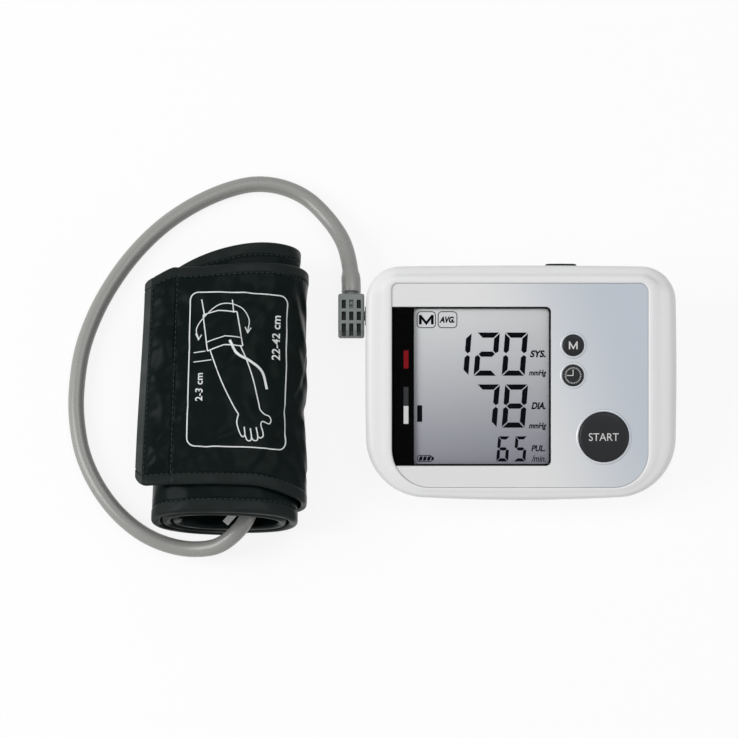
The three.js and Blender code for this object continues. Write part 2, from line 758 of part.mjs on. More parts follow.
// Cells with their contacts: every other cell faces the rear
function makePower() {
  const z = bay.floor + cellRadius + cellGap / 2;
  const pitch = 2 * cellRadius + cellGap;
  for (let i = 0; i < cellCount; i++) {
    const x = bay.left + cellGap + cellRadius + i * pitch;
    const forward = i % 2 === 0 ? 1 : -1;
    const flatEnd = forward > 0 ? bay.front : bay.rear;
    const nubEnd = forward > 0 ? bay.rear : bay.front;
    // A round bar or a plate between two distances from one end of the bay, into it
    const bar = (end, inward, radius, from, to, count) => {
      const ends = [end + inward * from, end + inward * to].sort((a, b) => a - b);
      return rodAlongY(x, z, radius, ...ends, count);
    };
    const plateMiddle = seatGap + contactThickness / 2;
    const plate = (end, inward) =>
      block(x, end + inward * plateMiddle, z, contactWidth, contactThickness, contactWidth);
    const bodyEnd = contactRoom + cellLength - cellNub.length;
    const cell = join(
      bar(flatEnd, forward, cellRadius, contactRoom, bodyEnd, 24),
      bar(flatEnd, forward, cellNub.radius, contactRoom, bodyEnd + cellNub.length, 16),
    );
    add(monitor, "cell_" + (i + 1), cell, "cellJacket");
    const sprung = join(plate(flatEnd, forward), spring(x, z, flatEnd, forward));
    add(monitor, "spring_contact_" + (i + 1), sprung, "steel");
    const button = bar(nubEnd, -forward, contactButton, plateMiddle, contactRoom - seatGap, 12);
    add(monitor, "flat_contact_" + (i + 1), join(plate(nubEnd, -forward), button), "steel");
  }
}

// A conical coil that grows from its plate to the flat end of its cell
function spring(x, z, end, inward) {
  const { turns, wire, plateRadius } = springCoil;
  const start = seatGap + contactThickness / 2;
  const reach = contactRoom - seatGap - wire - start;
  const steps = 20;
  const points = Array.from({ length: steps + 1 }, (_, i) => {
    const u = i / steps;
    const angle = u * turns * 2 * Math.PI;
    const radius = THREE.MathUtils.lerp(plateRadius, springCoil.cellRadius, u);
    const y = end + inward * (start + reach * u);
    return new THREE.Vector3(x + radius * Math.cos(angle), y, z + radius * Math.sin(angle));
  });
  return solidOf(tube(points, wire, steps, 5));
}

function makeDoor() {
  const rear = rearAt(doorTop);
  const leaf = box(door.left, door.right, door.front, rear, footDrop, doorTop).intersect(caseOuter);
  const ribs = Array.from({ length: doorRibs.count }, (_, i) => {
    const y = bay.front + doorRibs.fromBay + i * doorRibs.pitch;
    return block(bay.middle, y, footDrop, doorRibs.width, doorRibs.length, 2 * doorRibs.depth);
  });
  add(monitor, "battery_door", cut(leaf, ...ribs), "whitePlastic");
}

// Feet and screws
function makeFixings() {
  for (const [name, [x, y]] of Object.entries(footSpots)) {
    const top = footDrop + footSink - seatGap;
    const sole = footRadius - footChamfer;
    const profile = [[0, 0], [sole, 0], [footRadius, footChamfer], [footRadius, top], [0, top]];
    add(monitor, "foot_" + name, turned(profile, 20).translate([x, y, 0]), "rubber");
  }
  for (const [name, [x, y]] of Object.entries(screwSpots)) {
    const seat = screwSeat - seatGap;
    const tip = screwSeat - seatGap + screwLength;
    const profile = [
      [0, seat - screwHead.height],
      [screwHead.radius * 0.7, seat - screwHead.height],
      [screwHead.radius, seat - screwHead.height / 2],
      [screwHead.radius, seat],
      [screwRadius, seat],
      [screwRadius, tip - screwPoint],
      [0, tip],
    ];
    add(monitor, "case_screw_" + name, turned(profile, 14).translate([x, y, 0]), "steel");
  }
}

// Air socket, inner tubes, manifold, valve and pump
const barbEnd = socketBack + socketBarrel.length + socketBarb.length;
const deck = bay.ceiling + bayWall + seatGap;
const hub = { x: bay.middle, y: socketY - manifold.fromSocket, z: deck + manifold.nipple };
hub.left = hub.x - manifold.width / 2 - nippleLength;
hub.right = hub.x + manifold.width / 2 + nippleLength;
const across = (x) => new THREE.Vector3(x, hub.y, hub.z);

function makeSocket() {
  const along = (radius, x0, x1, count) => rodAlongX(socketY, socketHeight, radius, x0, x1, count);
  const barrelEnd = socketBack + socketBarrel.length;
  const body = join(
    along(socketFlange.radius, socketFace, socketBack, 32),
    along(socketBarrel.radius, socketFace, barrelEnd, 24),
    along(socketBarb.radius, socketFace, barbEnd, 16),
  );
  const bore = along(socketBore, socketFace - past, socketFace + nozzleInsert + 2 * seatGap, 20);
  const drilling = along(socketDrill, socketFace, barbEnd + past, 10);
  add(monitor, "air_socket", cut(body, bore, drilling), "greyPlastic");
}

function makeSocketTube() {
  const start = barbEnd + seatGap;
  const end = hub.left - seatGap;
  const tubeY = (share) => socketY - manifold.fromSocket * share;
  const wallTop = (socketHeight + hub.z) / 2 + socketTube.rise;
  const points = [
    new THREE.Vector3(start, socketY, socketHeight),
    new THREE.Vector3(start + socketTube.stub, socketY, socketHeight),
    new THREE.Vector3(bay.left + socketTube.overWall, tubeY(0.2), wallTop),
    new THREE.Vector3(bay.left + socketTube.overBay, tubeY(0.5), hub.z + socketTube.sag),
    across(end - tubeLead),
    across(end),
  ];
  add(monitor, "socket_tube", tube(points, tubeRadius, 14, 8), "clearTube");
}

function makeManifold() {
  const middle = deck + manifold.height / 2;
  const body = join(
    block(hub.x, hub.y, middle, manifold.width, manifold.depth, manifold.height),
    rodAlongX(hub.y, hub.z, nippleRadius, hub.left, hub.right, 12),
  );
  add(monitor, "air_manifold", body, "darkPlastic");
  const valveY = hub.y - manifold.depth / 2 - seatGap - valve.depth / 2;
  const valveBody = block(hub.x, valveY, deck + valve.height / 2, valve.width, valve.depth, valve.height);
  add(monitor, "release_valve", valveBody, "steel");
}

function makePump() {
  const nipple = { x: pump.left - nippleLength, y: pump.y + pumpNipple.aside, z: pump.z + pumpNipple.up };
  const start = hub.right + seatGap;
  const end = nipple.x - seatGap;
  const points = [
    across(start),
    across(start + tubeLead),
    new THREE.Vector3((start + end) / 2 + pumpTube.aside, (hub.y + nipple.y) / 2, (hub.z + nipple.z) / 2),
    new THREE.Vector3(end - pumpTube.lead, nipple.y, nipple.z),
    new THREE.Vector3(end, nipple.y, nipple.z),
  ];
  add(monitor, "pump_tube", tube(points, tubeRadius, 12, 8), "clearTube");
  const head = join(
    rodAlongX(pump.y, pump.z, pumpRadius, pump.left, pump.split, 28),
    rodAlongX(nipple.y, nipple.z, nippleRadius, nipple.x, pump.split, 12),
  );
  add(monitor, "pump_head", head, "darkPlastic");
  const motor = join(
    rodAlongX(pump.y, pump.z, pumpRadius, pump.split + seatGap, pump.right, 28),
    rodAlongX(pump.y, pump.z, bearing.radius, pump.split + seatGap, pump.right + bearing.length, 16),
  );
  add(monitor, "pump_motor", motor, "steel");
}

// The pressure sensor hangs from the board over the manifold
function makeSensor() {
  const under = boardLow - seatGap;
  const { width, height, portRadius, portLength } = sensorSize;
  const spot = [hub.x, faceT(hub.y, under - height)];
  const sensor = join(
    block(...spot, under - height / 2, width, width, height),
    rod(...spot, portRadius, under - height - portLength, under, 12),
  );
  add(face, "pressure_sensor", sensor, "darkPlastic");
}

// Power socket and its hinged cover
function makePort() {
  const back = rearAt(portHeight) - portInset;
  const along = (radius, y0, y1, count) => rodAlongY(portFromCentre, portHeight, radius, y0, y1, count);
  const boreEnd = back - jackBore.depth;
  const body = block(portFromCentre, back - jackDepth / 2, portHeight, portWidth, jackDepth, portTall);
  const bore = along(jackBore.radius, boreEnd, back + past, 20);
  const pin = along(jackPin.radius, boreEnd - past / 2, back - jackPin.inset, 10);
  add(monitor, "power_socket", join(cut(body, bore), pin), "darkPlastic");
  const low = portHeight - coverTall / 2;
  const left = portFromCentre - coverWidth / 2;
  const right = portFromCentre + coverWidth / 2;
  const outer = coverY + coverThickness;
  const pullZ = portHeight + coverTall / 2 - coverPull.fromTop - coverPull.height / 2;
  const cover = join(
    block(portFromCentre, (coverY + outer) / 2, portHeight, coverWidth, coverThickness, coverTall),
    rodAlongX(outer - hingeRadius, low, hingeRadius, left, right, 12),
    along(jackBore.radius - coverPlug.gap, back + coverPlug.reach, outer - coverThickness / 2, 16),
    block(portFromCentre, outer, pullZ, coverPull.width, 2 * coverPull.rise, coverPull.height),
  );
  add(monitor, "rear_port_cover", cover, "rubber");
}

// Plug at the end of the hose
const plugX = monitorX - halfWidth - plugToCase - plugWidth / 2;
function makePlug() {
  const group = new THREE.Group();
  group.position.set(plugX, socketY, socketHeight);
  part.add(group);
  const w = plugWidth / 2 - plugRound;
  const l = plugLength / 2 - plugRound;
  const corner = (x, y) => new THREE.Vector2(x, y);
  const shape = new THREE.Shape([corner(-w, -l), corner(w, -l), corner(w, l), corner(-w, l)]);
  const bevel = { bevelEnabled: true, bevelThickness: plugRound, bevelSize: plugRound, bevelSegments: 3 };
  const depth = plugHeight - 2 * plugRound;
  const body = new THREE.ExtrudeGeometry(shape, { depth, ...bevel }).translate(0, 0, -depth / 2);
  const pockets = [];
  for (let i = 0; i < plugGrid; i++) {
    for (let j = 0; j < plugGrid; j++) {
      const x = (i - (plugGrid - 1) / 2) * plugPocket.pitchX;
      const y = (j - (plugGrid - 1) / 2) * plugPocket.pitchY;
      pockets.push(block(x, y, plugHeight / 2, plugPocket.width, plugPocket.length, 2 * plugPocket.depth));
    }
  }
  const neck = rodAlongY(0, 0, neckRadius, plugLength / 4, plugLength / 2 + neckLength, 20);
  const seatStart = plugWidth / 2 - nozzleSeat;
  const seat = rodAlongX(0, 0, nozzleRadius + seatGap, seatStart, plugWidth, 16);
  add(group, "plug_body", cut(join(solidOf(body), neck), ...pockets, seat), "greyPlastic");

  const nozzleStart = seatStart + seatGap;
  const nozzleEnd = plugWidth / 2 + plugToCase + socketInset + nozzleInsert;
  const collarStart = plugWidth / 2 + seatGap;
  const nozzle = join(
    rodAlongX(0, 0, nozzleRadius, nozzleStart, nozzleEnd, 20),
    rodAlongX(0, 0, collar.radius, collarStart, collarStart + collar.thickness, 24),
  );
  const drilling = rodAlongX(0, 0, nozzleDrill, nozzleStart - past, nozzleEnd + past, 10);
  add(group, "plug_nozzle", cut(nozzle, drilling), "greyPlastic");
}

// Hose: its route on the table, in the group's own frame
const hoseRoute = [
  [-28.3, 53.8, 18],
  [-28.3, 58, 18],
  [-29.2, 69.6, 16],
  [-32.8, 84.2, 10.4],
  [-41.3, 98.4, 6.3],
  [-52.2, 109.4, 4.6],
  [-65.2, 115.4, 4.2],
  [-78.5, 116.8, 4.2],
  [-92, 113.9, 4.2],
  [-109.2, 106.2, 4.2],
  [-126, 94.6, 4.2],
  [-140, 80.6, 4.2],
  [-151.6, 64.8, 4.2],
  [-161.2, 46.9, 4.2],
  [-168.2, 26.7, 4.2],
  [-171.1, 5.2, 4.2],
  [-170.9, -11, 4.2],
  [-167.5, -29.9, 4.2],
  [-159.7, -47.4, 4.2],
  [-148.6, -62.2, 4.2],
  [-135.1, -73.2, 4.4],
  [-121, -79.4, 5.4],
  [-108.5, -81.8, 8.2],
  [-97.5, -81.4, 13.2],
  [-89, -76.8, 17.9],
  [-82.8, -69.4, 19.6],
  [-79.4, -60.5, 19.6],
  [-78.7, -51.75, 19.6],
];
function makeHose() {
  const points = hoseRoute.map((point) => new THREE.Vector3(...point));
  const hose = tube(points, hoseRadius, hoseSteps, hoseSides, "centripetal");
  add(part, "air_hose", hose, "hose");
  const curve = new THREE.CatmullRomCurve3(points, false, "centripetal");
  console.log("hose length", curve.getLength().toFixed(1), "mm");
}

// Cuff: one spiral, the flap first and then the sleeve
const rollA = rollWidth / 2 - flapThickness / 2;
const firstStep = flapThickness / 2 + flapGap + sleeveThickness / 2;
const nextStep = sleeveThickness + layerGap;
const halfTurnBelow = (rollStart + 90) / 360;
const rollB = (rollHeight + tableCut - flapThickness + firstStep * halfTurnBelow) / 2;
const rollZ = rollHeight - flapThickness / 2 - rollB;
const inwardAt = (turns) => firstStep * Math.min(turns, 1) + nextStep * Math.max(turns - 1, 0);

function spiralPoint(turns) {
  const angle = fromDegrees(rollStart - turns * 360);
  const c = Math.cos(angle);
  const s = Math.sin(angle);
  const power = 2 / rollSquareness;
  const inward = inwardAt(turns);
  return new THREE.Vector2(
    (rollA - inward) * Math.sign(c) * Math.abs(c) ** power,
    rollZ + (rollB - inward) * Math.sign(s) * Math.abs(s) ** power,
  );
}

function spiral(from, to) {
  const steps = Math.round((to - from) * stepsPerTurn);
  return Array.from({ length: steps + 1 }, (_, i) => spiralPoint(from + ((to - from) * i) / steps));
}

// A band along a path of [x, z] points: each ring is its section across the path, from rear to front
function band(path, thickness, y0, y1, edge = 0) {
  const half = thickness / 2;
  const flat = half * 0.4; // of the rounded edge
  const section = edge > 0
    ? [[-half, y0 + edge], [-flat, y0], [flat, y0], [half, y0 + edge],
       [half, y1 - edge], [flat, y1], [-flat, y1], [-half, y1 - edge]]
    : [[-half, y0], [half, y0], [half, y1], [-half, y1]];
  const rings = path.map((point, i) => {
    const before = path[Math.max(i - 1, 0)];
    const after = path[Math.min(i + 1, path.length - 1)];
    const along = after.clone().sub(before).normalize();
    return section.map(([out, y]) => new THREE.Vector3(point.x - along.y * out, y, point.y + along.x * out));
  });
  return loft(rings);
}

const tailPath = [
  [-47.2, 16.4],
  [-42, 19.2],
  [-33, 21.9],
  [-22.5, 23.8],
].map(([x, z]) => new THREE.Vector2(x, rollZ + z));

function makeCuff() {
  const half = sleeveWidth / 2;
  const flapHalf = flapWidth / 2;
  const table = box(-far, far, -far, far, -far, 0);
  const flapPath = [...tailPath, ...spiral(0, flapTurns)];
  const flap = band(flapPath, flapThickness, -flapHalf, flapHalf, flapEdge);
  add(cuff, "cuff_flap", cut(flap, table), "cloth");

  // The sleeve's pocket holds the bladder and is open to the front in one short mouth
  const { from, to, endGap: bladderGap } = bladderTurns;
  const bladderHalf = bladderWidth / 2;
  const pocketHalf = bladderHalf + 2 * seatGap;
  const pocketThickness = bladderThickness + 2 * seatGap;
  const pocket = band(spiral(from, to), pocketThickness, -pocketHalf, pocketHalf);
  const mouthPath = spiral(pocketMouth.from, pocketMouth.to);
  const mouth = band(mouthPath, pocketThickness, -half - past, pocketMouth.overlap - pocketHalf);
  const port = portPlace();
  const portHole = rod(
    port.x, port.y, portElbow.stem + seatGap, port.bladderTop - seatGap, port.floor + past, 16,
  );
  const sleeve = band(spiral(flapTurns + endGap, rollTurns), sleeveThickness, -half, half, sleeveEdge);
  add(cuff, "cuff_sleeve", cut(sleeve, pocket, mouth, portHole), "cloth");
  const bladderPath = spiral(from + bladderGap, to - bladderGap);
  add(cuff, "air_bladder", band(bladderPath, bladderThickness, -bladderHalf, bladderHalf), "bladder");

  // Hook tape under the free end of the flap
  const tapePath = tailPath.map((point, i, all) => {
    const before = all[Math.max(i - 1, 0)];
    const after = all[Math.min(i + 1, all.length - 1)];
    const along = after.clone().sub(before).normalize();
    const down = flapThickness / 2 + seatGap + hookTapeThickness / 2;
    return new THREE.Vector2(point.x + along.y * down, point.y - along.x * down);
  });
  add(cuff, "hook_tape", band(tapePath, hookTapeThickness, -hookTapeWidth / 2, hookTapeWidth / 2), "tape");
  makePortElbow(port);
  console.log("least gap between turns of the roll", leastGap().toFixed(2), "mm");
}

// Height of the hollow's floor at x: the upper side of the innermost turn's lowest stretch
function hollowFloor(x) {
  // The last turn's lower half
  const path = spiral(rollTurns - 0.6, rollTurns - 0.05);
  const next = path.findIndex((point) => point.x < x);
  const [a, b] = [path[next - 1], path[next]];
  return THREE.MathUtils.mapLinear(x, a.x, b.x, a.y, b.y) + sleeveThickness / 2;
}

// Hose port on the innermost turn, at the bottom of the roll's hollow
function portPlace() {
  const { x, fromEdge } = portSpot;
  const reach = portElbow.flange;
  const floor = Math.max(hollowFloor(x - reach), hollowFloor(x + reach)) + seatGap;
  const bladderTop = hollowFloor(x) - (sleeveThickness - bladderThickness) / 2;
  return { ...portSpot, y: -sleeveWidth / 2 + fromEdge, floor, bladderTop };
}

function makePortElbow(port) {
  const { x, y, floor, height } = port;
  const elbow = join(
    rod(x, y, portElbow.flange, floor, floor + portElbow.flangeThickness, 20),
    rod(x, y, portElbow.stem, port.bladderTop + 2 * seatGap, height, 16),
    rod(x, y, portElbow.body, floor, height + portElbow.crown, 20),
    rodAlongY(x, height, portBarb.radius, y - port.reach, y, 16),
    rodAlongY(x, height, portBarb.collar, y - portBarb.collarReach, y + portBarb.collarReach, 16),
  );
  add(cuff, "hose_port", elbow, "darkPlastic");
}

function leastGap() {
  let least = Infinity;
  const path = spiral(0, rollTurns);
  path.forEach((point, i) => {
    const nextLayer = i + Math.round(stepsPerTurn * 0.6);
    for (let j = nextLayer; j < path.length - 1; j++) {
      const edge = path[j + 1].clone().sub(path[j]);
      const u = THREE.MathUtils.clamp(point.clone().sub(path[j]).dot(edge) / edge.lengthSq(), 0, 1);
      const between = point.distanceTo(path[j].clone().addScaledVector(edge, u));
      const outerThickness = i / stepsPerTurn < flapTurns ? flapThickness : sleeveThickness;
      const thick = (outerThickness + sleeveThickness) / 2;
      least = Math.min(least, between - thick);
    }
  });
  return least;
}

function makeTag() {
  const { width, length, thickness } = tagSize;
  const reach = width / 2;
  const z = Math.max(hollowFloor(tagSpot.x - reach), hollowFloor(tagSpot.x + reach)) + seatGap;
  const y = -sleeveWidth / 2 + tagSpot.fromEdge + length / 2;
  add(cuff, "care_tag", block(tagSpot.x, y, z + thickness / 2, width, length, thickness), "tag");
}

makeCase();
makePanel();
makeDisplay();
makeBoard();
makeButton("start", startButton, 48);
makeButton("memory", memoryButton, 32);
makeButton("clock", clockButton, 32);
makeBoardParts();
makePower();
makeDoor();
makeFixings();
makeSocket();
makeSocketTube();
makeManifold();
makePump();
makeSensor();
makePort();
makePlug();
makeHose();
makeCuff();
makeTag();

export default part;
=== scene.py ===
import bpy
import bmesh
from bisect import bisect_left
from math import sin, cos, radians, pi, inf, copysign
from mathutils import Vector, Matrix, noise


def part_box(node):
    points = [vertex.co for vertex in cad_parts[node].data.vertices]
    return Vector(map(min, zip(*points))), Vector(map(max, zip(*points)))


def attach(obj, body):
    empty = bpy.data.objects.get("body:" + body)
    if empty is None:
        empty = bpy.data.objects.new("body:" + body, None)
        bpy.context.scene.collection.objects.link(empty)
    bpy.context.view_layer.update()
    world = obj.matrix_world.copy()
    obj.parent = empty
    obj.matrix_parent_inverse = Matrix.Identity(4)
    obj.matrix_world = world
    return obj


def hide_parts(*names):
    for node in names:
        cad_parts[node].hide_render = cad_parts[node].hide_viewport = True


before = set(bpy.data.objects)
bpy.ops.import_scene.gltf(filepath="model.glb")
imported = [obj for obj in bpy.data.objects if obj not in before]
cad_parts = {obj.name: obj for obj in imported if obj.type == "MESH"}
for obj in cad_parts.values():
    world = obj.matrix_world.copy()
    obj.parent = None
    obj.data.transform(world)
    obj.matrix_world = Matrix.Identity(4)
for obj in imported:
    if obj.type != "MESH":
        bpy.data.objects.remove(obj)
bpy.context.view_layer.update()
mm = 0.001

# Places: the monitor's middle line, the leaning panel's own frame, and the cuff at the left
panelTilt = radians(16)
panelEdge = {"left": -66.85, "right": 65.85, "front": -54.65, "rear": 51.05}
cuffPlace = {"x": -91.2, "turn": -1.3}
housingLow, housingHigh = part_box("top_housing")
monitorX = (housingLow[0] + housingHigh[0]) / 2 / mm
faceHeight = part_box("front_panel")[1][2] / mm - panelEdge["rear"] * sin(panelTilt)
tableFrame = Matrix.Identity(4)
monitorFrame = Matrix.Translation((monitorX, 0, 0))
faceFrame = Matrix.Translation((monitorX, 0, faceHeight)) @ Matrix.Rotation(panelTilt, 4, "X")
cuffFrame = Matrix.Translation((cuffPlace["x"], 0, 0)) @ Matrix.Rotation(radians(cuffPlace["turn"]), 4, "Z")

# Camera at the photograph's angle, and the hose, before everything else
cameraSetup = {"elevation": 74, "distance": 8000, "target": (-19.04, 10.52, 25), "lens": 752, "sensor": 36,
               "farthest": 50}


def addObject(name, data):
    item = bpy.data.objects.new(name, data)
    bpy.context.collection.objects.link(item)
    return item


def makeCamera(c):
    data = bpy.data.cameras.new("camera")
    data.lens = c["lens"]
    data.sensor_width = c["sensor"]
    data.clip_end = c["farthest"]
    camera = addObject("camera", data)
    tilt = radians(c["elevation"])
    back = Vector((0, -cos(tilt), sin(tilt))) * c["distance"]
    camera.location = (Vector(c["target"]) + back) * mm
    camera.rotation_euler = (pi / 2 - tilt, 0, 0)
    bpy.context.scene.camera = camera


def srgb(r, g, b):
    def linear(v):
        v = v / 255
        return v / 12.92 if v <= 0.04045 else ((v + 0.055) / 1.055) ** 2.4
    return (linear(r), linear(g), linear(b), 1)


# Shared surface effects, as node groups
def newGroup(name, inputs, outputs):
    group = bpy.data.node_groups.new(name, "ShaderNodeTree")
    for label, kind, value in inputs:
        socket = group.interface.new_socket(name=label, in_out="INPUT", socket_type="NodeSocket" + kind)
        if value is not None:
            socket.default_value = value
    for label, kind in outputs:
        group.interface.new_socket(name=label, in_out="OUTPUT", socket_type="NodeSocket" + kind)
    start = group.nodes.new("NodeGroupInput")
    end = group.nodes.new("NodeGroupOutput")
    return group, start, end


# Each input gets a link from another node's socket, or a plain value
def feed(tree, node, inputs):
    for key, value in inputs.items():
        if isinstance(value, bpy.types.NodeSocket):
            tree.links.new(value, node.inputs[key])
        else:
            node.inputs[key].default_value = value


def addNode(tree, kind, inputs=None, **settings):
    node = tree.nodes.new("ShaderNode" + kind)
    for key, value in settings.items():
        setattr(node, key, value)
    feed(tree, node, inputs or {})
    return node


def addMath(tree, operation, *values):
    return addNode(tree, "Math", dict(enumerate(values)), operation=operation).outputs[0]


def mapRange(tree, value, low, high, fromLow=0, fromHigh=1, **settings):
    inputs = {"Value": value, "From Min": fromLow, "From Max": fromHigh, "To Min": low, "To Max": high}
    return addNode(tree, "MapRange", inputs, **settings).outputs["Result"]


# A colour made lighter and darker by a noise, by up to the named share
def clouded(tree, color, cloud, share):
    swing = addMath(tree, "MULTIPLY_ADD", mapRange(tree, cloud.outputs["Fac"], -1, 1), share, 1)
    return addNode(tree, "VectorMath", {0: color, "Scale": swing}, operation="SCALE").outputs["Vector"]


# Moulded or painted surface: faint cloudy tone, fine grain in the gloss, and a grain height
def makeGrainGroup():
    group, start, end = newGroup(
        "surfaceGrain",
        [("Color", "Color", (0.8, 0.8, 0.8, 1)), ("Tone", "Float", 0.03), ("Roughness", "Float", 0.4),
         ("Spread", "Float", 0.06), ("Grain Size", "Float", 2500), ("Cloud Size", "Float", 18)],
        [("Color", "Color"), ("Roughness", "Float"), ("Height", "Float")])
    given = start.outputs
    place = addNode(group, "TexCoord").outputs["Object"]
    fine = addNode(group, "TexNoise", {"Vector": place, "Scale": given["Grain Size"], "Detail": 3})
    cloud = addNode(group, "TexNoise", {"Vector": place, "Scale": given["Cloud Size"], "Detail": 4})
    swing = mapRange(group, fine.outputs["Fac"], -1, 1)
    feed(group, end, {"Color": clouded(group, given["Color"], cloud, given["Tone"]),
                      "Roughness": addMath(group, "MULTIPLY_ADD", swing, given["Spread"], given["Roughness"]),
                      "Height": fine.outputs["Fac"]})
    return group


# Woven nylon on a piece's own UV map, which is in millimetres
def makeWeaveGroup():
    group, start, end = newGroup(
        "clothWeave",
        [("Color", "Color", (0.03, 0.03, 0.03, 1)), ("Light", "Color", (0.06, 0.06, 0.06, 1)),
         ("Pitch", "Float", 0.5), ("Tone", "Float", 0.12)],
        [("Color", "Color"), ("Height", "Float")])
    given = start.outputs
    coords = addNode(group, "TexCoord").outputs
    split = addNode(group, "SeparateXYZ", {0: coords["UV"]})
    waves = []
    for axis in ("X", "Y"):
        turns = addMath(group, "DIVIDE", split.outputs[axis], given["Pitch"])
        waves.append(addMath(group, "SINE", addMath(group, "MULTIPLY", turns, 2 * pi)))
    height = mapRange(group, addMath(group, "MULTIPLY", *waves), 0, 1, fromLow=-1)
    threads = {"Factor": height, "A": given["Color"], "B": given["Light"]}
    blend = addNode(group, "Mix", threads, data_type="RGBA")
    cloud = addNode(group, "TexNoise", {"Vector": coords["Object"], "Scale": 40, "Detail": 5})
    color = clouded(group, blend.outputs["Result"], cloud, given["Tone"])
    feed(group, end, {"Color": color, "Height": height})
    return group


grainGroup = makeGrainGroup()
weaveGroup = makeWeaveGroup()


def newMaterial(name):
    material = bpy.data.materials.new(name)
    material.use_nodes = True
    return material, material.node_tree, material.node_tree.nodes["Principled BSDF"]


def addBump(tree, height, strength, shader, distance=0.0001, under=None):
    inputs = {"Strength": strength, "Distance": distance, "Height": height}
    if under:
        inputs["Normal"] = under.outputs["Normal"]
    bump = addNode(tree, "Bump", inputs)
    feed(tree, shader, {"Normal": bump.outputs["Normal"]})
    return bump


# Lays one shader over another by a share from 0 to 1
def layShader(tree, share, under, over):
    mix = addNode(tree, "MixShader", {0: share, 1: under.outputs[0], 2: over.outputs[0]})
    feed(tree, tree.nodes["Material Output"], {"Surface": mix.outputs[0]})


def plastic(name, color, rough=0.4, spread=0.05, tone=0.02, grain=2500, bump=0.1, metal=0, coat=0, shine=0.5):
    material, tree, shader = newMaterial(name)
    look = {"Color": srgb(*color), "Tone": tone, "Roughness": rough, "Spread": spread, "Grain Size": grain}
    surface = addNode(tree, "Group", look, node_tree=grainGroup).outputs
    addBump(tree, surface["Height"], bump, shader)
    feed(tree, shader, {"Base Color": surface["Color"], "Roughness": surface["Roughness"], "Metallic": metal,
                        "Coat Weight": coat, "Coat Roughness": 0.15, "Specular IOR Level": shine})
    return material


def weave(tree, color, light, pitch, tone):
    look = {"Color": srgb(*color), "Light": srgb(*light), "Pitch": pitch, "Tone": tone}
    return addNode(tree, "Group", look, node_tree=weaveGroup).outputs


# Woven cloth; tape is the look of its bound edges, where the mesh's "binding" attribute is 1
def cloth(name, color, light, pitch=0.5, rough=0.5, bump=0.4, shine=0.1, tone=0.12, tape=None, crinkle=0):
    material, tree, shader = newMaterial(name)
    surface = weave(tree, color, light, pitch, tone)
    if tape:
        edge = weave(tree, *tape, tone)
        mask = addNode(tree, "Attribute", attribute_name="binding").outputs["Fac"]
        mixed = {}
        for label, kind in (("Color", "RGBA"), ("Height", "FLOAT")):
            both = {"Factor": mask, "A": surface[label], "B": edge[label]}
            mixed[label] = addNode(tree, "Mix", both, data_type=kind).outputs["Result"]
        surface = mixed
    under = None
    if crinkle:
        place = addNode(tree, "TexCoord").outputs["Object"]
        crumple = addNode(tree, "TexNoise", {"Vector": place, "Scale": 48, "Detail": 1})
        under = addBump(tree, crumple.outputs["Fac"], crinkle, shader, distance=0.006)
    addBump(tree, surface["Height"], bump, shader, under=under)
    feed(tree, shader, {"Base Color": surface["Color"], "Roughness": rough, "Specular IOR Level": shine})
    return material


# Coated clear window: what its outer face mirrors, over what lies behind it
def clearPane(name):
    material, tree, shader = newMaterial(name)
    feed(tree, shader, {"Base Color": (0.02, 0.02, 0.02, 1), "Roughness": 0.04})
    mirrored = addNode(tree, "Fresnel", {"IOR": 1.14}).outputs[0]
    outside = addMath(tree, "SUBTRACT", 1, addNode(tree, "NewGeometry").outputs["Backfacing"])
    layShader(tree, addMath(tree, "MULTIPLY", mirrored, outside), addNode(tree, "BsdfTransparent"), shader)
    return material


# Segment display: pale at the rear and darker towards the front, a painted reflection
def displayWithPaintedReflection(name, rear, middle, front):
    material, tree, shader = newMaterial(name)
    low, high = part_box("lcd_glass")
    split = addNode(tree, "SeparateXYZ", {0: addNode(tree, "TexCoord").outputs["Object"]})
    # painted reflection: the ramp runs from the dark front colour to the pale rear colour
    ramp = addNode(tree, "ValToRGB", {"Fac": mapRange(tree, split.outputs["Y"], 0, 1, low[1], high[1])})
    stops = ramp.color_ramp.elements
    stops[0].color, stops[0].position = srgb(*front), 0.03
    stops[1].color, stops[1].position = srgb(*rear), 0.97
    stops.new(0.55).color = srgb(*middle)
    look = {"Color": ramp.outputs["Color"], "Tone": 0.03, "Roughness": 0.35}
    surface = addNode(tree, "Group", look, node_tree=grainGroup).outputs
    feed(tree, shader, {"Base Color": surface["Color"], "Roughness": surface["Roughness"],
                        "Specular IOR Level": 0.1})
    return material


# Silver paint with fine flake; its colour goes darker and bluer towards the panel's right side, a painted
# reflection
def silverPaintWithPaintedReflection(name, left, right):
    material, tree, shader = newMaterial(name)
    low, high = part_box("front_panel")
    split = addNode(tree, "SeparateXYZ", {0: addNode(tree, "TexCoord").outputs["Object"]})
    slanted = addMath(tree, "MULTIPLY_ADD", split.outputs["Y"], 0.35, split.outputs["X"])
    across = mapRange(tree, slanted, 0, 1, low[0] + 0.4 * (high[0] - low[0]), high[0],
                      interpolation_type="SMOOTHSTEP")
    # painted reflection: the colour blends from the left colour to the darker, bluer right one across the panel
    blend = addNode(tree, "Mix", {"Factor": across, "A": srgb(*left), "B": srgb(*right)}, data_type="RGBA")
    look = {"Color": blend.outputs["Result"], "Tone": 0.02, "Roughness": 0.38, "Spread": 0.08,
            "Grain Size": 3500}
    surface = addNode(tree, "Group", look, node_tree=grainGroup).outputs
    addBump(tree, surface["Height"], 0.08, shader)
    feed(tree, shader, {"Base Color": surface["Color"], "Roughness": surface["Roughness"], "Metallic": 0.3,
                        "Specular IOR Level": 0.3})
    return material


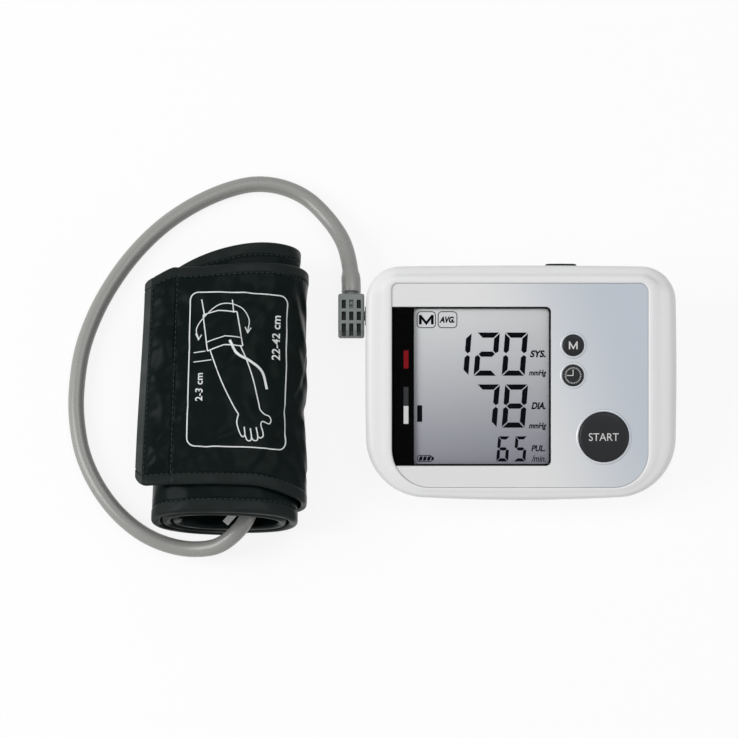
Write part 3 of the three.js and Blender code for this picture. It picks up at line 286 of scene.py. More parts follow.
plastics = {
    "whiteCase": dict(color=(231, 231, 232), rough=0.45, tone=0.01, grain=1800, bump=0.06, shine=0.3),
    "printBlack": dict(color=(9, 9, 10), rough=0.5, bump=0.02, shine=0),
    "printRed": dict(color=(128, 25, 31), rough=0.5, bump=0.02, shine=0),
    "printGrey": dict(color=(58, 59, 61), rough=0.5, bump=0.02, shine=0),
    "printWhite": dict(color=(210, 210, 210), rough=0.5, bump=0.02, shine=0.1),
    "segments": dict(color=(16, 16, 21), rough=0.5, bump=0.02, shine=0),
    # dark ring round the display, painted shade
    "shadeGasket": dict(color=(34, 34, 37), rough=0.6, shine=0.1),
    "button": dict(color=(31, 32, 34), rough=0.36, spread=0.06, tone=0.05, grain=3000, bump=0.15, shine=0.2),
    "darkPlastic": dict(color=(38, 38, 41), rough=0.5, tone=0.05, bump=0.2, shine=0.3),
    "holderPlastic": dict(color=(222, 222, 218), rough=0.5, bump=0.15),
    "socketPlastic": dict(color=(150, 152, 150), rough=0.45, bump=0.15, shine=0.3),
    "plugPlastic": dict(color=(124, 130, 128), rough=0.46, spread=0.08, tone=0.05, bump=0.2, shine=0.3),
    # dark fill of the plug's pockets, painted shade
    "pocketShadeFill": dict(color=(17, 23, 21), rough=0.6, tone=0.08, bump=0.3, shine=0.2),
    "solderMask": dict(color=(28, 96, 52), rough=0.35, tone=0.1, bump=0.1),
    "steel": dict(color=(190, 192, 196), rough=0.3, spread=0.1, tone=0.05, metal=1, bump=0.1),
    "cellJacket": dict(color=(52, 55, 62), rough=0.3, tone=0.06, bump=0.05, coat=0.3),
    "cellBand": dict(color=(150, 153, 160), rough=0.3, tone=0.04, metal=0.6, bump=0.05),
    "rubber": dict(color=(42, 42, 44), rough=0.75, tone=0.08, grain=1500, bump=0.35, shine=0.2),
    "hosePvc": dict(color=(144, 144, 141), rough=0.28, tone=0.05, grain=1400),
    "clearTube": dict(color=(214, 216, 213), rough=0.3, bump=0.05),
    "stitchThread": dict(color=(60, 67, 66), rough=0.7, tone=0.15, bump=0.4, shine=0.1),
    "cuffPrint": dict(color=(222, 226, 226), rough=0.55, tone=0.06, bump=0.2, shine=0.1),
}
cloths = {
    "cuffNylon": dict(color=(4, 12, 11), light=(10, 21, 20), pitch=0.55, rough=0.3, bump=0.15, shine=0.052,
                      tone=0.3, tape=((38, 41, 41), (72, 76, 75), 1.1), crinkle=0.9),
    "hookPile": dict(color=(8, 8, 9), light=(30, 30, 32), pitch=1.1, rough=0.9, bump=1, shine=0.02),
    "tagRibbon": dict(color=(226, 226, 226), light=(250, 250, 250), pitch=0.35, rough=0.7, bump=0.4),
}
finishes = {name: plastic(name, **look) for name, look in plastics.items()}
finishes.update({name: cloth(name, **look) for name, look in cloths.items()})
# the darker, bluer right colour of the silver panel and beads is a painted reflection
finishes["silverPanel"] = silverPaintWithPaintedReflection("silverPanel", (217, 217, 217), (183, 190, 199))
# the display's rear, middle and front colours make a painted reflection
finishes["display"] = displayWithPaintedReflection("display", (213, 215, 216), (184, 186, 190), (139, 140, 150))
finishes["clearWindow"] = clearPane("clearWindow")


# Puts a bmesh in its place as a piece that rides on a body and stands for its CAD nodes
def placed(bm, name, where, finish, body, replaces=(), degrees=32, recalc=True):
    if recalc:
        bmesh.ops.recalc_face_normals(bm, faces=bm.faces)
    bmesh.ops.transform(bm, matrix=Matrix.Scale(mm, 4) @ where, verts=bm.verts)
    mesh = bpy.data.meshes.new(name)
    bm.to_mesh(mesh)
    bm.free()
    mesh.shade_smooth()
    mesh.set_sharp_from_angle(angle=radians(degrees))
    mesh.materials.append(finishes[finish])
    piece = addObject(name, mesh)
    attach(piece, body)
    if replaces:
        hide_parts(*replaces)
    return piece


def roundEdges(piece, width):
    bevel = piece.modifiers.new("edgeRound", "BEVEL")
    bevel.width = width * mm
    bevel.segments = 2
    bevel.limit_method = "ANGLE"
    bevel.angle_limit = radians(50)


def scratchObject(bm):
    mesh = bpy.data.meshes.new("scratch")
    bmesh.ops.recalc_face_normals(bm, faces=bm.faces)
    bm.to_mesh(mesh)
    bm.free()
    return addObject("scratch", mesh)


# Joins or cuts bmesh solids, in order, and gives back the result
def combine(bm, steps):
    base = scratchObject(bm)
    others = []
    for operation, tool in steps:
        other = scratchObject(tool)
        others.append(other)
        modifier = base.modifiers.new(operation, "BOOLEAN")
        modifier.operation = operation
        modifier.solver = "EXACT"
        modifier.object = other
    graph = bpy.context.evaluated_depsgraph_get()
    result = bmesh.new()
    result.from_mesh(bpy.data.meshes.new_from_object(base.evaluated_get(graph)))
    for item in [base] + others:
        bpy.data.objects.remove(item)
    bmesh.ops.remove_doubles(result, verts=result.verts, dist=0.001)
    bmesh.ops.dissolve_degenerate(result, edges=result.edges, dist=0.0005)
    return result


def cut(bm, *tools):
    return combine(bm, [("DIFFERENCE", tool) for tool in tools])


def boxBmesh(x0, x1, y0, y1, z0, z1):
    bm = bmesh.new()
    size = Matrix.Diagonal((x1 - x0, y1 - y0, z1 - z0, 1))
    middle = Matrix.Translation(((x0 + x1) / 2, (y0 + y1) / 2, (z0 + z1) / 2))
    bmesh.ops.create_cube(bm, size=1, matrix=middle @ size)
    return bm


def rodBmesh(start, end, radius, segments=48, radius2=None):
    bm = bmesh.new()
    start, end = Vector(start), Vector(end)
    along = end - start
    turn = along.to_track_quat("Z", "Y").to_matrix().to_4x4()
    bmesh.ops.create_cone(bm, cap_ends=True, segments=segments, radius1=radius, radius2=radius2 or radius,
                          depth=along.length, matrix=Matrix.Translation((start + end) / 2) @ turn)
    return bm


def addInto(bm, other):
    mesh = bpy.data.meshes.new("scratch")
    other.to_mesh(mesh)
    other.free()
    bm.from_mesh(mesh)
    bpy.data.meshes.remove(mesh)


def bevelSharp(bm, width, segments=2, degrees=30):
    edges = [e for e in bm.edges if e.is_manifold and e.calc_face_angle(0) > radians(degrees)]
    bmesh.ops.bevel(bm, geom=edges, offset=width, offset_type="OFFSET", affect="EDGES", segments=segments,
                    profile=0.5, material=-1, clamp_overlap=True)


def vertsOf(geom):
    return [g for g in geom if isinstance(g, bmesh.types.BMVert)]


# A loop of edges, pulled out ring by ring
def startLoop(bm, ring):
    verts = [bm.verts.new(p) for p in ring]
    edges = [bm.edges.new((verts[i - 1], verts[i])) for i in range(len(verts))]
    return verts, edges


def pullLoop(bm, verts, edges, ring):
    made = bmesh.ops.extrude_edge_only(bm, edges=edges)["geom"]
    fresh = set(vertsOf(made))
    nextVerts = [next(e.other_vert(v) for e in v.link_edges if e.other_vert(v) in fresh) for v in verts]
    for v, p in zip(nextVerts, ring):
        v.co = p
    nextEdges = [g for g in made if isinstance(g, bmesh.types.BMEdge) and fresh.issuperset(g.verts)]
    return nextVerts, nextEdges


def loftBmesh(rings, cap=True):
    bm = bmesh.new()
    firstVerts, firstEdges = startLoop(bm, rings[0])
    verts, edges = firstVerts, firstEdges
    for ring in rings[1:]:
        verts, edges = pullLoop(bm, verts, edges, ring)
    if cap:
        bmesh.ops.edgeloop_fill(bm, edges=firstEdges)
        bmesh.ops.edgeloop_fill(bm, edges=edges)
    else:
        bmesh.ops.bridge_loops(bm, edges=firstEdges + edges)
    return bm


# A turned piece about Z from a profile of (radius, height), open at the axis
def turnedBmesh(profile, steps=96):
    bm = bmesh.new()
    verts = [bm.verts.new((r, 0, z)) for r, z in profile]
    edges = [bm.edges.new(pair) for pair in zip(verts, verts[1:])]
    bmesh.ops.spin(bm, geom=verts + edges, cent=(0, 0, 0), axis=(0, 0, 1), angle=2 * pi, steps=steps,
                   use_merge=True)
    bmesh.ops.remove_doubles(bm, verts=bm.verts, dist=0.0005)
    return bm


def clamped(u):
    return min(max(u, 0), 1)


def smoothShare(u):
    u = clamped(u)
    return u * u * (3 - 2 * u)


# The points as vectors, with one more past each end
def withEnds(points):
    points = [Vector(p) for p in points]
    return [2 * points[0] - points[1]] + points + [2 * points[-1] - points[-2]]


# Smooth curve through (x, y) pairs, even in its steps
def smoothLine(points, steps):
    points = withEnds(points)
    line = []
    for a, b, c, d in zip(points, points[1:], points[2:], points[3:]):
        for k in range(steps):
            u = k / steps
            line.append(0.5 * (2 * b + (c - a) * u + (2 * a - 5 * b + 4 * c - d) * u * u
                               + (3 * b - a - 3 * c + d) * u ** 3))
    line.append(points[-2])
    return line


# Hose
hoseSetup = {
    "diameter": 8.3,
    "flare": {"radius": 5, "length": 8, "taper": 5},
    "route": [
        (-28.3, 53.8, 18), (-28.3, 58, 18), (-29.2, 69.6, 16), (-32.8, 84.2, 10.4), (-41.3, 98.4, 6.3),
        (-52.2, 109.4, 4.6), (-65.2, 115.4, 4.2), (-78.5, 116.8, 4.2), (-92, 113.9, 4.2),
        (-109.2, 106.2, 4.2), (-126, 94.6, 4.2), (-140, 80.6, 4.2), (-151.6, 64.8, 4.2),
        (-161.2, 46.9, 4.2), (-168.2, 26.7, 4.2), (-171.1, 5.2, 4.2), (-170.9, -11, 4.2),
        (-167.5, -29.9, 4.2), (-159.7, -47.4, 4.2), (-148.6, -62.2, 4.2), (-135.1, -73.2, 4.4),
        (-121, -79.4, 5.4), (-108.5, -81.8, 8.2), (-97.5, -81.4, 13.2), (-89, -76.8, 17.9),
        (-82.8, -69.4, 19.6), (-79.4, -60.5, 19.6), (-78.7, -51.75, 19.6)],
}


# Centripetal curve through the route's points, as the solid has
def centripetal(points, steps):
    points = withEnds(points)
    line = []
    for a, b, c, d in zip(points, points[1:], points[2:], points[3:]):
        t0, t1, t2 = ((q - p).length ** 0.5 for p, q in ((a, b), (b, c), (c, d)))
        out = ((b - a) / t0 - (c - a) / (t0 + t1) + (c - b) / t1) * t1
        into = ((c - b) / t1 - (d - b) / (t1 + t2) + (d - c) / t2) * t1
        for k in range(steps):
            u = k / steps
            line.append(b + out * u + (3 * (c - b) - 2 * out - into) * u * u
                        + (2 * (b - c) + out + into) * u ** 3)
    line.append(points[-2])
    return line


def makeHose(c):
    line = centripetal(c["route"], 10)
    radius = c["diameter"] / 2
    flare = c["flare"]
    curve = bpy.data.curves.new("airHose", "CURVE")
    curve.dimensions = "3D"
    curve.bevel_depth = radius * mm
    curve.bevel_resolution = 8
    curve.use_fill_caps = True
    spline = curve.splines.new("POLY")
    spline.points.add(len(line) - 1)
    gone = 0
    for i, (point, p) in enumerate(zip(spline.points, line)):
        gone += (p - line[i - 1]).length if i else 0
        point.co = (*(p * mm), 1)
        # the hose is stretched over the plug's barb
        swell = smoothShare((flare["length"] + flare["taper"] - gone) / flare["taper"])
        point.radius = 1 + (flare["radius"] / radius - 1) * swell
    curve.materials.append(finishes["hosePvc"])
    hose = addObject("airHose", curve)
    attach(hose, "cuff_set")
    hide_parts("air_hose")
    return hose, gone


makeCamera(cameraSetup)
hose, hoseLength = makeHose(hoseSetup)
print("camera and hose", round(hoseLength, 1), "mm")

# Outlines with their own radius at each corner and slightly bowed sides, from the front left corner round
cornerSteps = 20
edgeSteps = 12
caseHalfWidth = 80.25
caseHalfLength = 59.85
skirt = 6  # from the panel's face to the case's widest line
draft = {"side": 3, "front": 9, "rear": 1.2}  # how far the base lies inside that line
caseEdges = {"left": -caseHalfWidth, "right": caseHalfWidth, "front": -caseHalfLength, "rear": caseHalfLength,
             "radii": (31, 31, 18, 18), "bow": (1.3, 0.4, 0.5, 0.4)}
panelEdges = {**panelEdge, "radii": (20, 18, 4.6, 3.2), "bow": (0, 0, 0, 0)}
rearWall = caseHalfLength * cos(panelTilt) + skirt * sin(panelTilt)
frontWall = -caseHalfLength * cos(panelTilt) + skirt * sin(panelTilt)
baseEdges = {"left": draft["side"] - caseHalfWidth, "right": caseHalfWidth - draft["side"],
             "front": frontWall + draft["front"], "rear": rearWall - draft["rear"],
             "radii": (27, 27, 16, 16), "bow": (0, 0, 0, 0)}
socketSpot = (41.19, 18)  # middle of the air socket, to the rear and above the table


def outline(e, grow=0, cornerSteps=cornerSteps, edgeSteps=edgeSteps):
    radii = [max(r + grow, 0.6) for r in e["radii"]]
    left, right, front, rear = e["left"] - grow, e["right"] + grow, e["front"] - grow, e["rear"] + grow
    centres = ((left + radii[0], front + radii[0]), (right - radii[1], front + radii[1]),
               (right - radii[2], rear - radii[2]), (left + radii[3], rear - radii[3]))
    outward = ((0, -1), (1, 0), (0, 1), (-1, 0))
    points = []
    for i in range(4):
        for k in range(cornerSteps + 1):
            angle = pi + pi / 2 * (i + k / cornerSteps)
            points.append(Vector(centres[i]) + radii[i] * Vector((cos(angle), sin(angle))))
        start = points[-1]
        angle = pi + pi / 2 * (i + 1)
        end = Vector(centres[(i + 1) % 4]) + radii[(i + 1) % 4] * Vector((cos(angle), sin(angle)))
        for k in range(1, edgeSteps):
            u = k / edgeSteps
            swell = e["bow"][i] * (1 - (2 * u - 1) ** 2)
            points.append(start.lerp(end, u) + swell * Vector(outward[i]))
    return points


# A point of the panel's frame in the monitor's frame
def facePoint(x, y, n):
    back, up = cos(panelTilt), sin(panelTilt)
    return Vector((x, y * back - n * up, faceHeight + y * up + n * back))


caseSetup = {
    "wall": 2.2, "footDrop": 1.5, "baseRound": 2.2, "seatDepth": 2.7, "ledge": 4, "ring": 0.15,
    "topCut": 12.15, "baseCut": 11.85, "chamfer": 0.3, "bezelFoot": 0.25, "innerDrop": 2, "underBezel": 0.7,
    "lip": {"height": 2.2, "gap": 0.3, "wall": 1.1, "clear": 6},
    "socketHoles": [(-90, -73, 4.7), (-90, -77.85, 6.7)],  # from x, to x, radius
    "port": {"x": (15.4, 26), "z": (35.9, 45.1), "deep": 14, "past": 5},
    "rearBlend": (43, 15),  # where the rear's own bezel line starts, and how long it takes over
    "bezel": [(0, 0.4), (0.05, 0.75), (0.14, 0.86), (0.28, 0.62), (0.42, 0.2), (0.55, -0.05), (0.68, -0.3),
              (0.8, -0.75), (0.9, -1.8), (0.97, -3.6), (1, -6)],
    "rearBezel": [(0, 0.4), (0.06, 0.8), (0.16, 0.9), (0.3, 0.7), (0.42, 0.1), (0.5, -0.9), (0.58, -1.7),
                  (0.7, -2.4), (0.84, -3.3), (0.95, -4.5), (1, -6)],
}


def bezelRing(c, outward, height, inset):
    inner = outline(panelEdges, c["ring"])
    outer = outline(caseEdges, -inset)
    return [facePoint(*a.lerp(b, outward), height) for a, b in zip(inner, outer)]


# The frame from the panel's edge to the widest line, with its own line along the rear
def frameRings(c):
    inner = outline(panelEdges, c["ring"])
    outer = outline(caseEdges)
    rings = []
    start, run = c["rearBlend"]
    for side, rear in zip(smoothLine(c["bezel"], 4), smoothLine(c["rearBezel"], 4)):
        ring = []
        for a, b in zip(inner, outer):
            share, height = side.lerp(rear, smoothShare((b.y - start) / run))
            ring.append(facePoint(*a.lerp(b, min(share, 1)), height))
        rings.append(ring)
    return rings


# The side wall between its widest line and the base, cut at a height
def wallRing(widest, foot, z):
    return [a.lerp(b, (a.z - z) / (a.z - b.z)) for a, b in zip(widest, foot)]


def footRing(grow, z):
    return [Vector((p.x, p.y, z)) for p in outline(baseEdges, grow)]


def insetRing(ring, by):
    result = []
    for i, p in enumerate(ring):
        along = ring[(i + 1) % len(ring)] - ring[i - 1]
        result.append(p + Vector((-along.y, along.x, 0)).normalized() * by)
    return result


def shellRings(c):
    turn = c["footDrop"] + c["baseRound"]
    foot = footRing(0, turn)
    innerFoot = footRing(-c["wall"], turn + c["wall"])
    widest = bezelRing(c, 1, -skirt, 0)
    innerWidest = bezelRing(c, 1, -skirt - c["wall"] - c["innerDrop"], c["wall"])
    return foot, innerFoot, widest, innerWidest


def makeTopHousing(c):
    foot, innerFoot, widest, innerWidest = shellRings(c)
    seat, under = -c["seatDepth"], -c["seatDepth"] - c["wall"]

    def flat(grow, n):
        return [facePoint(p.x, p.y, n) for p in outline(panelEdges, grow)]

    rings = [flat(-c["ledge"], seat), flat(c["ring"], seat), flat(c["ring"], c["bezelFoot"])]
    rings += frameRings(c)
    rings += [wallRing(widest, foot, c["topCut"] + c["chamfer"]),
              insetRing(wallRing(widest, foot, c["topCut"]), c["chamfer"]),
              wallRing(innerWidest, innerFoot, c["topCut"]), innerWidest,
              bezelRing(c, c["underBezel"], under, c["wall"]), flat(-c["ledge"], under)]
    holes = [rodBmesh((x0, *socketSpot), (x1, *socketSpot), radius) for x0, x1, radius in c["socketHoles"]]
    port = c["port"]
    holes.append(boxBmesh(*port["x"], rearWall - port["deep"], rearWall + port["past"], *port["z"]))
    shell = cut(loftBmesh(rings, cap=False), *holes)
    return placed(shell, "topHousing", monitorFrame, "whiteCase", "monitor", ["top_housing"])


baySetup = {"left": -50.85, "right": 7.95, "front": -7.92, "rear": 48.09, "floor": 3.6, "ceiling": 18.2,
            "wall": 1.8, "overlap": 2.4, "gap": 0.3, "toRearWall": 2, "past": 90}
footSpots = {"front_left": (-55.25, -31.88), "rear_left": (-65.75, 44.98),
             "front_right": (55.25, -31.88), "rear_right": (65.75, 44.98)}
screwSpots = {"front_left": (-65.25, -33.88), "rear_left": (-68.85, 24.19),
              "front_right": (65.25, -33.88), "rear_right": (68.85, 24.19)}


def baseRings(c):
    foot, _, widest, _ = shellRings(c)
    drop, turn = c["footDrop"], c["baseRound"]
    rings = [wallRing(widest, foot, c["baseCut"] - c["chamfer"])]
    for u in (0.3, 0.6, 0.8):
        rings.append(wallRing(widest, foot, c["baseCut"] + (drop + turn - c["baseCut"]) * u))
    for k in range(7):
        angle = pi / 2 * k / 6
        rings.append(footRing(-turn * (1 - cos(angle)), drop + turn * (1 - sin(angle))))
    return rings


fixingHoles = {"web": 1, "footWell": (5.3, 0.8), "boss": 4.2, "screwWell": (3, 5)}  # wells: radius, depth


def makeBottomHousing(c, bay, holes):
    foot, innerFoot, widest, innerWidest = shellRings(c)
    drop, wall, lip = c["footDrop"], c["wall"], c["lip"]
    innerTop = wallRing(innerWidest, innerFoot, c["baseCut"])
    lipFoot = insetRing(innerTop, lip["gap"])
    lipTop = [p + Vector((0, 0, lip["height"])) for p in lipFoot]
    innerLip = insetRing(lipTop, lip["wall"])
    rings = [innerLip, lipTop, lipFoot, innerTop,
             insetRing(wallRing(widest, foot, c["baseCut"]), c["chamfer"])]
    shell = loftBmesh(rings + baseRings(c))
    inside = loftBmesh([[p + Vector((0, 0, lip["clear"])) for p in innerLip],
                        insetRing(innerTop, lip["gap"] + lip["wall"]), innerFoot,
                        footRing(-wall - c["baseRound"], drop + wall)])
    reach, low = bay["overlap"] + bay["gap"], drop + holes["web"]

    def around(by, y1, z0, z1):
        return boxBmesh(bay["left"] - by, bay["right"] + by, bay["front"] - by, y1, z0, z1)

    steps = [("DIFFERENCE", inside),
             ("UNION", around(bay["wall"], bay["rear"] + bay["wall"], low, bay["ceiling"] + bay["wall"])),
             ("UNION", around(reach + bay["wall"], rearWall - bay["toRearWall"], low, bay["floor"] + bay["wall"])),
             ("DIFFERENCE", around(0, bay["rear"], 0, bay["ceiling"])),
             ("DIFFERENCE", around(reach, bay["past"], 0, bay["floor"]))]
    radius, deep = holes["footWell"]
    for x, y in footSpots.values():
        steps.append(("DIFFERENCE", rodBmesh((x, y, 0), (x, y, drop + deep), radius)))
    radius, deep = holes["screwWell"]
    for x, y in screwSpots.values():
        steps.append(("UNION", rodBmesh((x, y, low), (x, y, c["baseCut"]), holes["boss"])))
        steps.append(("DIFFERENCE", rodBmesh((x, y, 0), (x, y, drop + deep), radius)))
    shell = combine(shell, steps)
    return placed(shell, "bottomHousing", monitorFrame, "whiteCase", "monitor",
                  ["bottom_housing"])


# Battery door: finger grooves and an arrow that shows which way it slides
doorSetup = {"grooves": 5, "first": 6, "pitch": 2.4, "length": 18, "groove": 0.62, "round": 0.22, "past": 4,
             "arrow": {"half": 3.4, "start": 24, "slope": 1.5, "depth": 0.35}}


def makeDoor(c, case, bay):
    low, high = (v / mm for v in map(Vector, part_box("battery_door")))
    middle = (bay["left"] + bay["right"]) / 2
    steps = [("INTERSECT", loftBmesh(baseRings(case)))]
    for k in range(c["grooves"]):
        y = bay["front"] + c["first"] + k * c["pitch"]
        ends = [(middle + side * c["length"] / 2, y, low.z - c["groove"] * 0.2) for side in (-1, 1)]
        steps.append(("DIFFERENCE", rodBmesh(*ends, c["groove"], 16)))
    arrow = c["arrow"]
    half, start = arrow["half"], bay["front"] + arrow["start"]
    shape = [(middle - half, start), (middle + half, start), (middle, start + half * arrow["slope"])]
    steps.append(("DIFFERENCE", prismBmesh(shape, low.z - 1, low.z + arrow["depth"])))
    leaf = boxBmesh(low.x - monitorX, high.x - monitorX, low.y, high.y + c["past"], low.z, high.z)
    leaf = combine(leaf, steps)
    bevelSharp(leaf, c["round"], 2, 40)
    return placed(leaf, "batteryDoor", monitorFrame, "whiteCase", "battery_door",
                  ["battery_door"])


# Screws with a cross recess, and moulded rubber feet
fixingSetup = {"head": [(0, 0), (1.5, 0.04), (2.15, 0.3), (2.55, 0.8), (2.65, 1.2), (2.65, 1.75)],
               "shank": 1.3, "thread": 0.2, "pitch": 1, "point": 2, "cross": (3.1, 0.62, 1),
               "foot": [(0, 0.35), (2.1, 0.35), (2.6, 0), (4.1, 0), (4.7, 0.25), (5, 0.8)]}


def makeScrew(name, where, c):
    low, high = (v / mm for v in map(Vector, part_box("case_screw_" + name)))
    length = high.z - low.z
    under = c["head"][-1][1]
    thread = []
    for k in range(round((length - under - c["point"]) / c["pitch"])):
        z = under + c["pitch"] * k
        thread += [(c["shank"], z), (c["shank"] + c["thread"], z + c["pitch"] * 0.5)]
    body = turnedBmesh(c["head"] + thread + [(c["shank"], length - c["point"]), (0, length)], 32)
    along, width, depth = c["cross"]
    bars = [boxBmesh(-a / 2, a / 2, -b / 2, b / 2, -1, depth) for a, b in ((along, width), (width, along))]
    screw = moved(cut(body, *bars), *where, low.z)
    placed(screw, "caseScrew_" + name, monitorFrame, "steel", "monitor", ["case_screw_" + name])


def makeFoot(name, where, c):
    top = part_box("foot_" + name)[1][2] / mm
    foot = turnedBmesh(c["foot"] + [(c["foot"][-1][0], top), (0, top)], 48)
    placed(moved(foot, *where), "rubberFoot_" + name, monitorFrame, "rubber", "monitor",
           ["foot_" + name])


# Cells: a metal can in a printed jacket with a pale band at its plus end
cellSetup = {
    "count": 4,
    "can": [(0, 0), (5.4, 0), (5.7, 0.25), (6.4, 0.35), (6.5, 1), (6.5, 48), (6.2, 48.6), (3.4, 48.75),
            (2.8, 48.95), (2.65, 49.2), (2.65, 49.75), (2.4, 50), (0, 50)],
    "jacket": [(5.9, 0.4), (6.6, 0.25), (7.1, 0.7), (7.1, 36), (6.4, 36), (6.4, 0.9), (5.9, 0.4)],
    "band": [(6.4, 36.1), (7.1, 36.1), (7.1, 48.4), (6.7, 48.8), (5.6, 48.85), (5.6, 48.5), (6.4, 48.2),
             (6.4, 36.1)],
}


def makeCells(c):
    looks = {"can": ("Can", "steel"), "jacket": ("Jacket", "cellJacket"), "band": ("Band", "cellBand")}
    for number in range(1, c["count"] + 1):
        node = "cell_%d" % number
        low, high = (v / mm for v in map(Vector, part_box(node)))
        forward = 1 if number % 2 else -1  # neighbours lie the other way round
        start = low.y if forward > 0 else high.y
        where = Matrix.Translation(((low.x + high.x) / 2, start, (low.z + high.z) / 2))
        where = where @ Matrix.Rotation(-forward * pi / 2, 4, "X")
        for key, (word, finish) in looks.items():
            placed(turnedBmesh(c[key], 48), "cell%d%s" % (number, word), where, finish, "monitor",
                   [node] if key == "can" else ())


makeTopHousing(caseSetup)
makeBottomHousing(caseSetup, baySetup, fixingHoles)
print("housings")

# Panel and window
panelSetup = {"thickness": 2.4, "bevel": 0.22, "lensRing": 0.15, "lensThickness": 1, "lensSeat": 0.3,
              "lensReach": 6.7, "mask": 11.4, "rim": 0.6, "buttonGap": 0.35, "past": 5}
lensEdges = {"left": panelEdge["left"], "right": 15.45, "front": -43.45, "rear": 38.85,
             "radii": (2.6,) * 4, "bow": (0,) * 4}
lensBand = {**lensEdges, "left": lensEdges["left"] - panelSetup["lensReach"]}  # past the panel's left edge
buttonBead = [(0.12, -0.6), (0.12, 0.12), (0.3, 0.32), (0.65, 0.4), (1.05, 0.3), (1.5, 0.03), (1.5, -0.6),
              (0.12, -0.6)]
buttonSetup = {
    "start": {"spot": (42.85, -28.55), "radius": 12.95, "rise": 1.6, "dome": 1.1, "bead": buttonBead},
    "memory": {"spot": (27.05, 18.95), "radius": 5.45, "rise": 1.3, "dome": 0.6, "bead": buttonBead},
    "clock": {"spot": (26.95, 3.35), "radius": 5.45, "rise": 1.3, "dome": 0.6, "bead": buttonBead},
}


def prismBmesh(points, z0, z1):
    bm = bmesh.new()
    face = bm.faces.new([bm.verts.new((p[0], p[1], z0)) for p in points])
    grown = bmesh.ops.extrude_face_region(bm, geom=[face])["geom"]
    bmesh.ops.translate(bm, verts=vertsOf(grown), vec=(0, 0, z1 - z0))
    bmesh.ops.recalc_face_normals(bm, faces=bm.faces)
    return bm


def lcdOpening():
    return {**lensEdges, "left": lensEdges["left"] + panelSetup["mask"] - 0.4,
            "right": lensEdges["right"] - panelSetup["rim"], "front": lensEdges["front"] + panelSetup["rim"],
            "rear": lensEdges["rear"] - panelSetup["rim"]}


def makePanel(c):
    past = c["past"]
    holes = [prismBmesh(outline(lensBand, c["lensRing"]), -c["lensThickness"] - c["lensSeat"], past),
             prismBmesh(outline(lcdOpening()), -past, past)]
    for b in buttonSetup.values():
        x, y = b["spot"]
        holes.append(rodBmesh((x, y, -past), (x, y, past), b["radius"] + c["buttonGap"], 96))
    panel = cut(prismBmesh(outline(panelEdges), -c["thickness"], 0), *holes)
    panel = placed(panel, "frontPanel", faceFrame, "silverPanel", "monitor", ["front_panel"])
    roundEdges(panel, c["bevel"])
    lens = prismBmesh(outline(lensBand), -c["lensThickness"], 0)
    lens = combine(lens, [("INTERSECT", prismBmesh(outline(panelEdges), -past, past))])
    placed(lens, "displayWindow", faceFrame, "clearWindow", "monitor", ["display_window"])


# Printed band and bars behind the window's left edge, and its thin dark border
printSetup = {
    "depth": -1.02, "thickness": 0.04, "border": 0.8, "inset": 0.05, "barSink": 0.01, "barRise": 0.015,
    "bars": {"redBar": ("printRed", (-60.8, -58.3), (16.3, 7)),
             "greyBar": ("printGrey", (-60.8, -58.3), (-2.6, -11.9)),
             "whiteBar": ("printWhite", (-60.8, -58.3), (-12.4, -21.7))},
}


def makeWindowPrint(c):
    top, past = c["depth"], panelSetup["past"]
    mask = prismBmesh(outline(panelEdges, -c["inset"]), top - c["thickness"], top)
    clear = {"left": lensEdges["left"] + panelSetup["mask"], "right": lensEdges["right"] - c["border"],
             "front": lensEdges["front"] + c["border"], "rear": lensEdges["rear"] - c["border"],
             "radii": (1.2, 1.8, 1.8, 1.2), "bow": (0,) * 4}
    mask = combine(mask, [("INTERSECT", prismBmesh(outline(lensBand, -c["inset"]), -past, past)),
                          ("DIFFERENCE", prismBmesh(outline(clear), -past, past))])
    placed(mask, "windowPrint", faceFrame, "printBlack", "monitor")
    for name, (finish, across, along) in c["bars"].items():
        bar = boxBmesh(*across, along[1], along[0], top - c["barSink"], top + c["barRise"])
        placed(bar, name, faceFrame, finish, "monitor")


makePanel(panelSetup)
makeWindowPrint(printSetup)
print("panel and window")


# Lettering and symbols, in a thin layer of ink
ink = 0.04


def letterBmesh(text, width, height, thickness=ink, weight=0.01):
    curve = bpy.data.curves.new("scratch", "FONT")
    curve.body = text
    curve.resolution_u = 5
    curve.offset = weight
    item = addObject("scratch", curve)
    graph = bpy.context.evaluated_depsgraph_get()
    bm = bmesh.new()
    bm.from_mesh(bpy.data.meshes.new_from_object(item.evaluated_get(graph)))
    bpy.data.objects.remove(item)
    low = [min(v.co[i] for v in bm.verts) for i in (0, 1)]
    high = [max(v.co[i] for v in bm.verts) for i in (0, 1)]
    fit = Matrix.Diagonal((width / (high[0] - low[0]), height / (high[1] - low[1]), 1, 1))
    centre = Matrix.Translation((-(low[0] + high[0]) / 2, -(low[1] + high[1]) / 2, 0))
    bmesh.ops.transform(bm, matrix=fit @ centre, verts=bm.verts)
    thicken(bm, thickness)
    return bm


def thicken(bm, thickness):
    bmesh.ops.remove_doubles(bm, verts=bm.verts, dist=0.0005)
    grown = bmesh.ops.extrude_face_region(bm, geom=list(bm.faces))["geom"]
    bmesh.ops.translate(bm, verts=vertsOf(grown), vec=(0, 0, thickness))
    bmesh.ops.recalc_face_normals(bm, faces=bm.faces)


def moved(bm, x, y, z=0, lean=0):
    shear = Matrix(((1, lean, 0, 0), (0, 1, 0, 0), (0, 0, 1, 0), (0, 0, 0, 1)))
    bmesh.ops.transform(bm, matrix=Matrix.Translation((x, y, z)) @ shear, verts=bm.verts)
    return bm


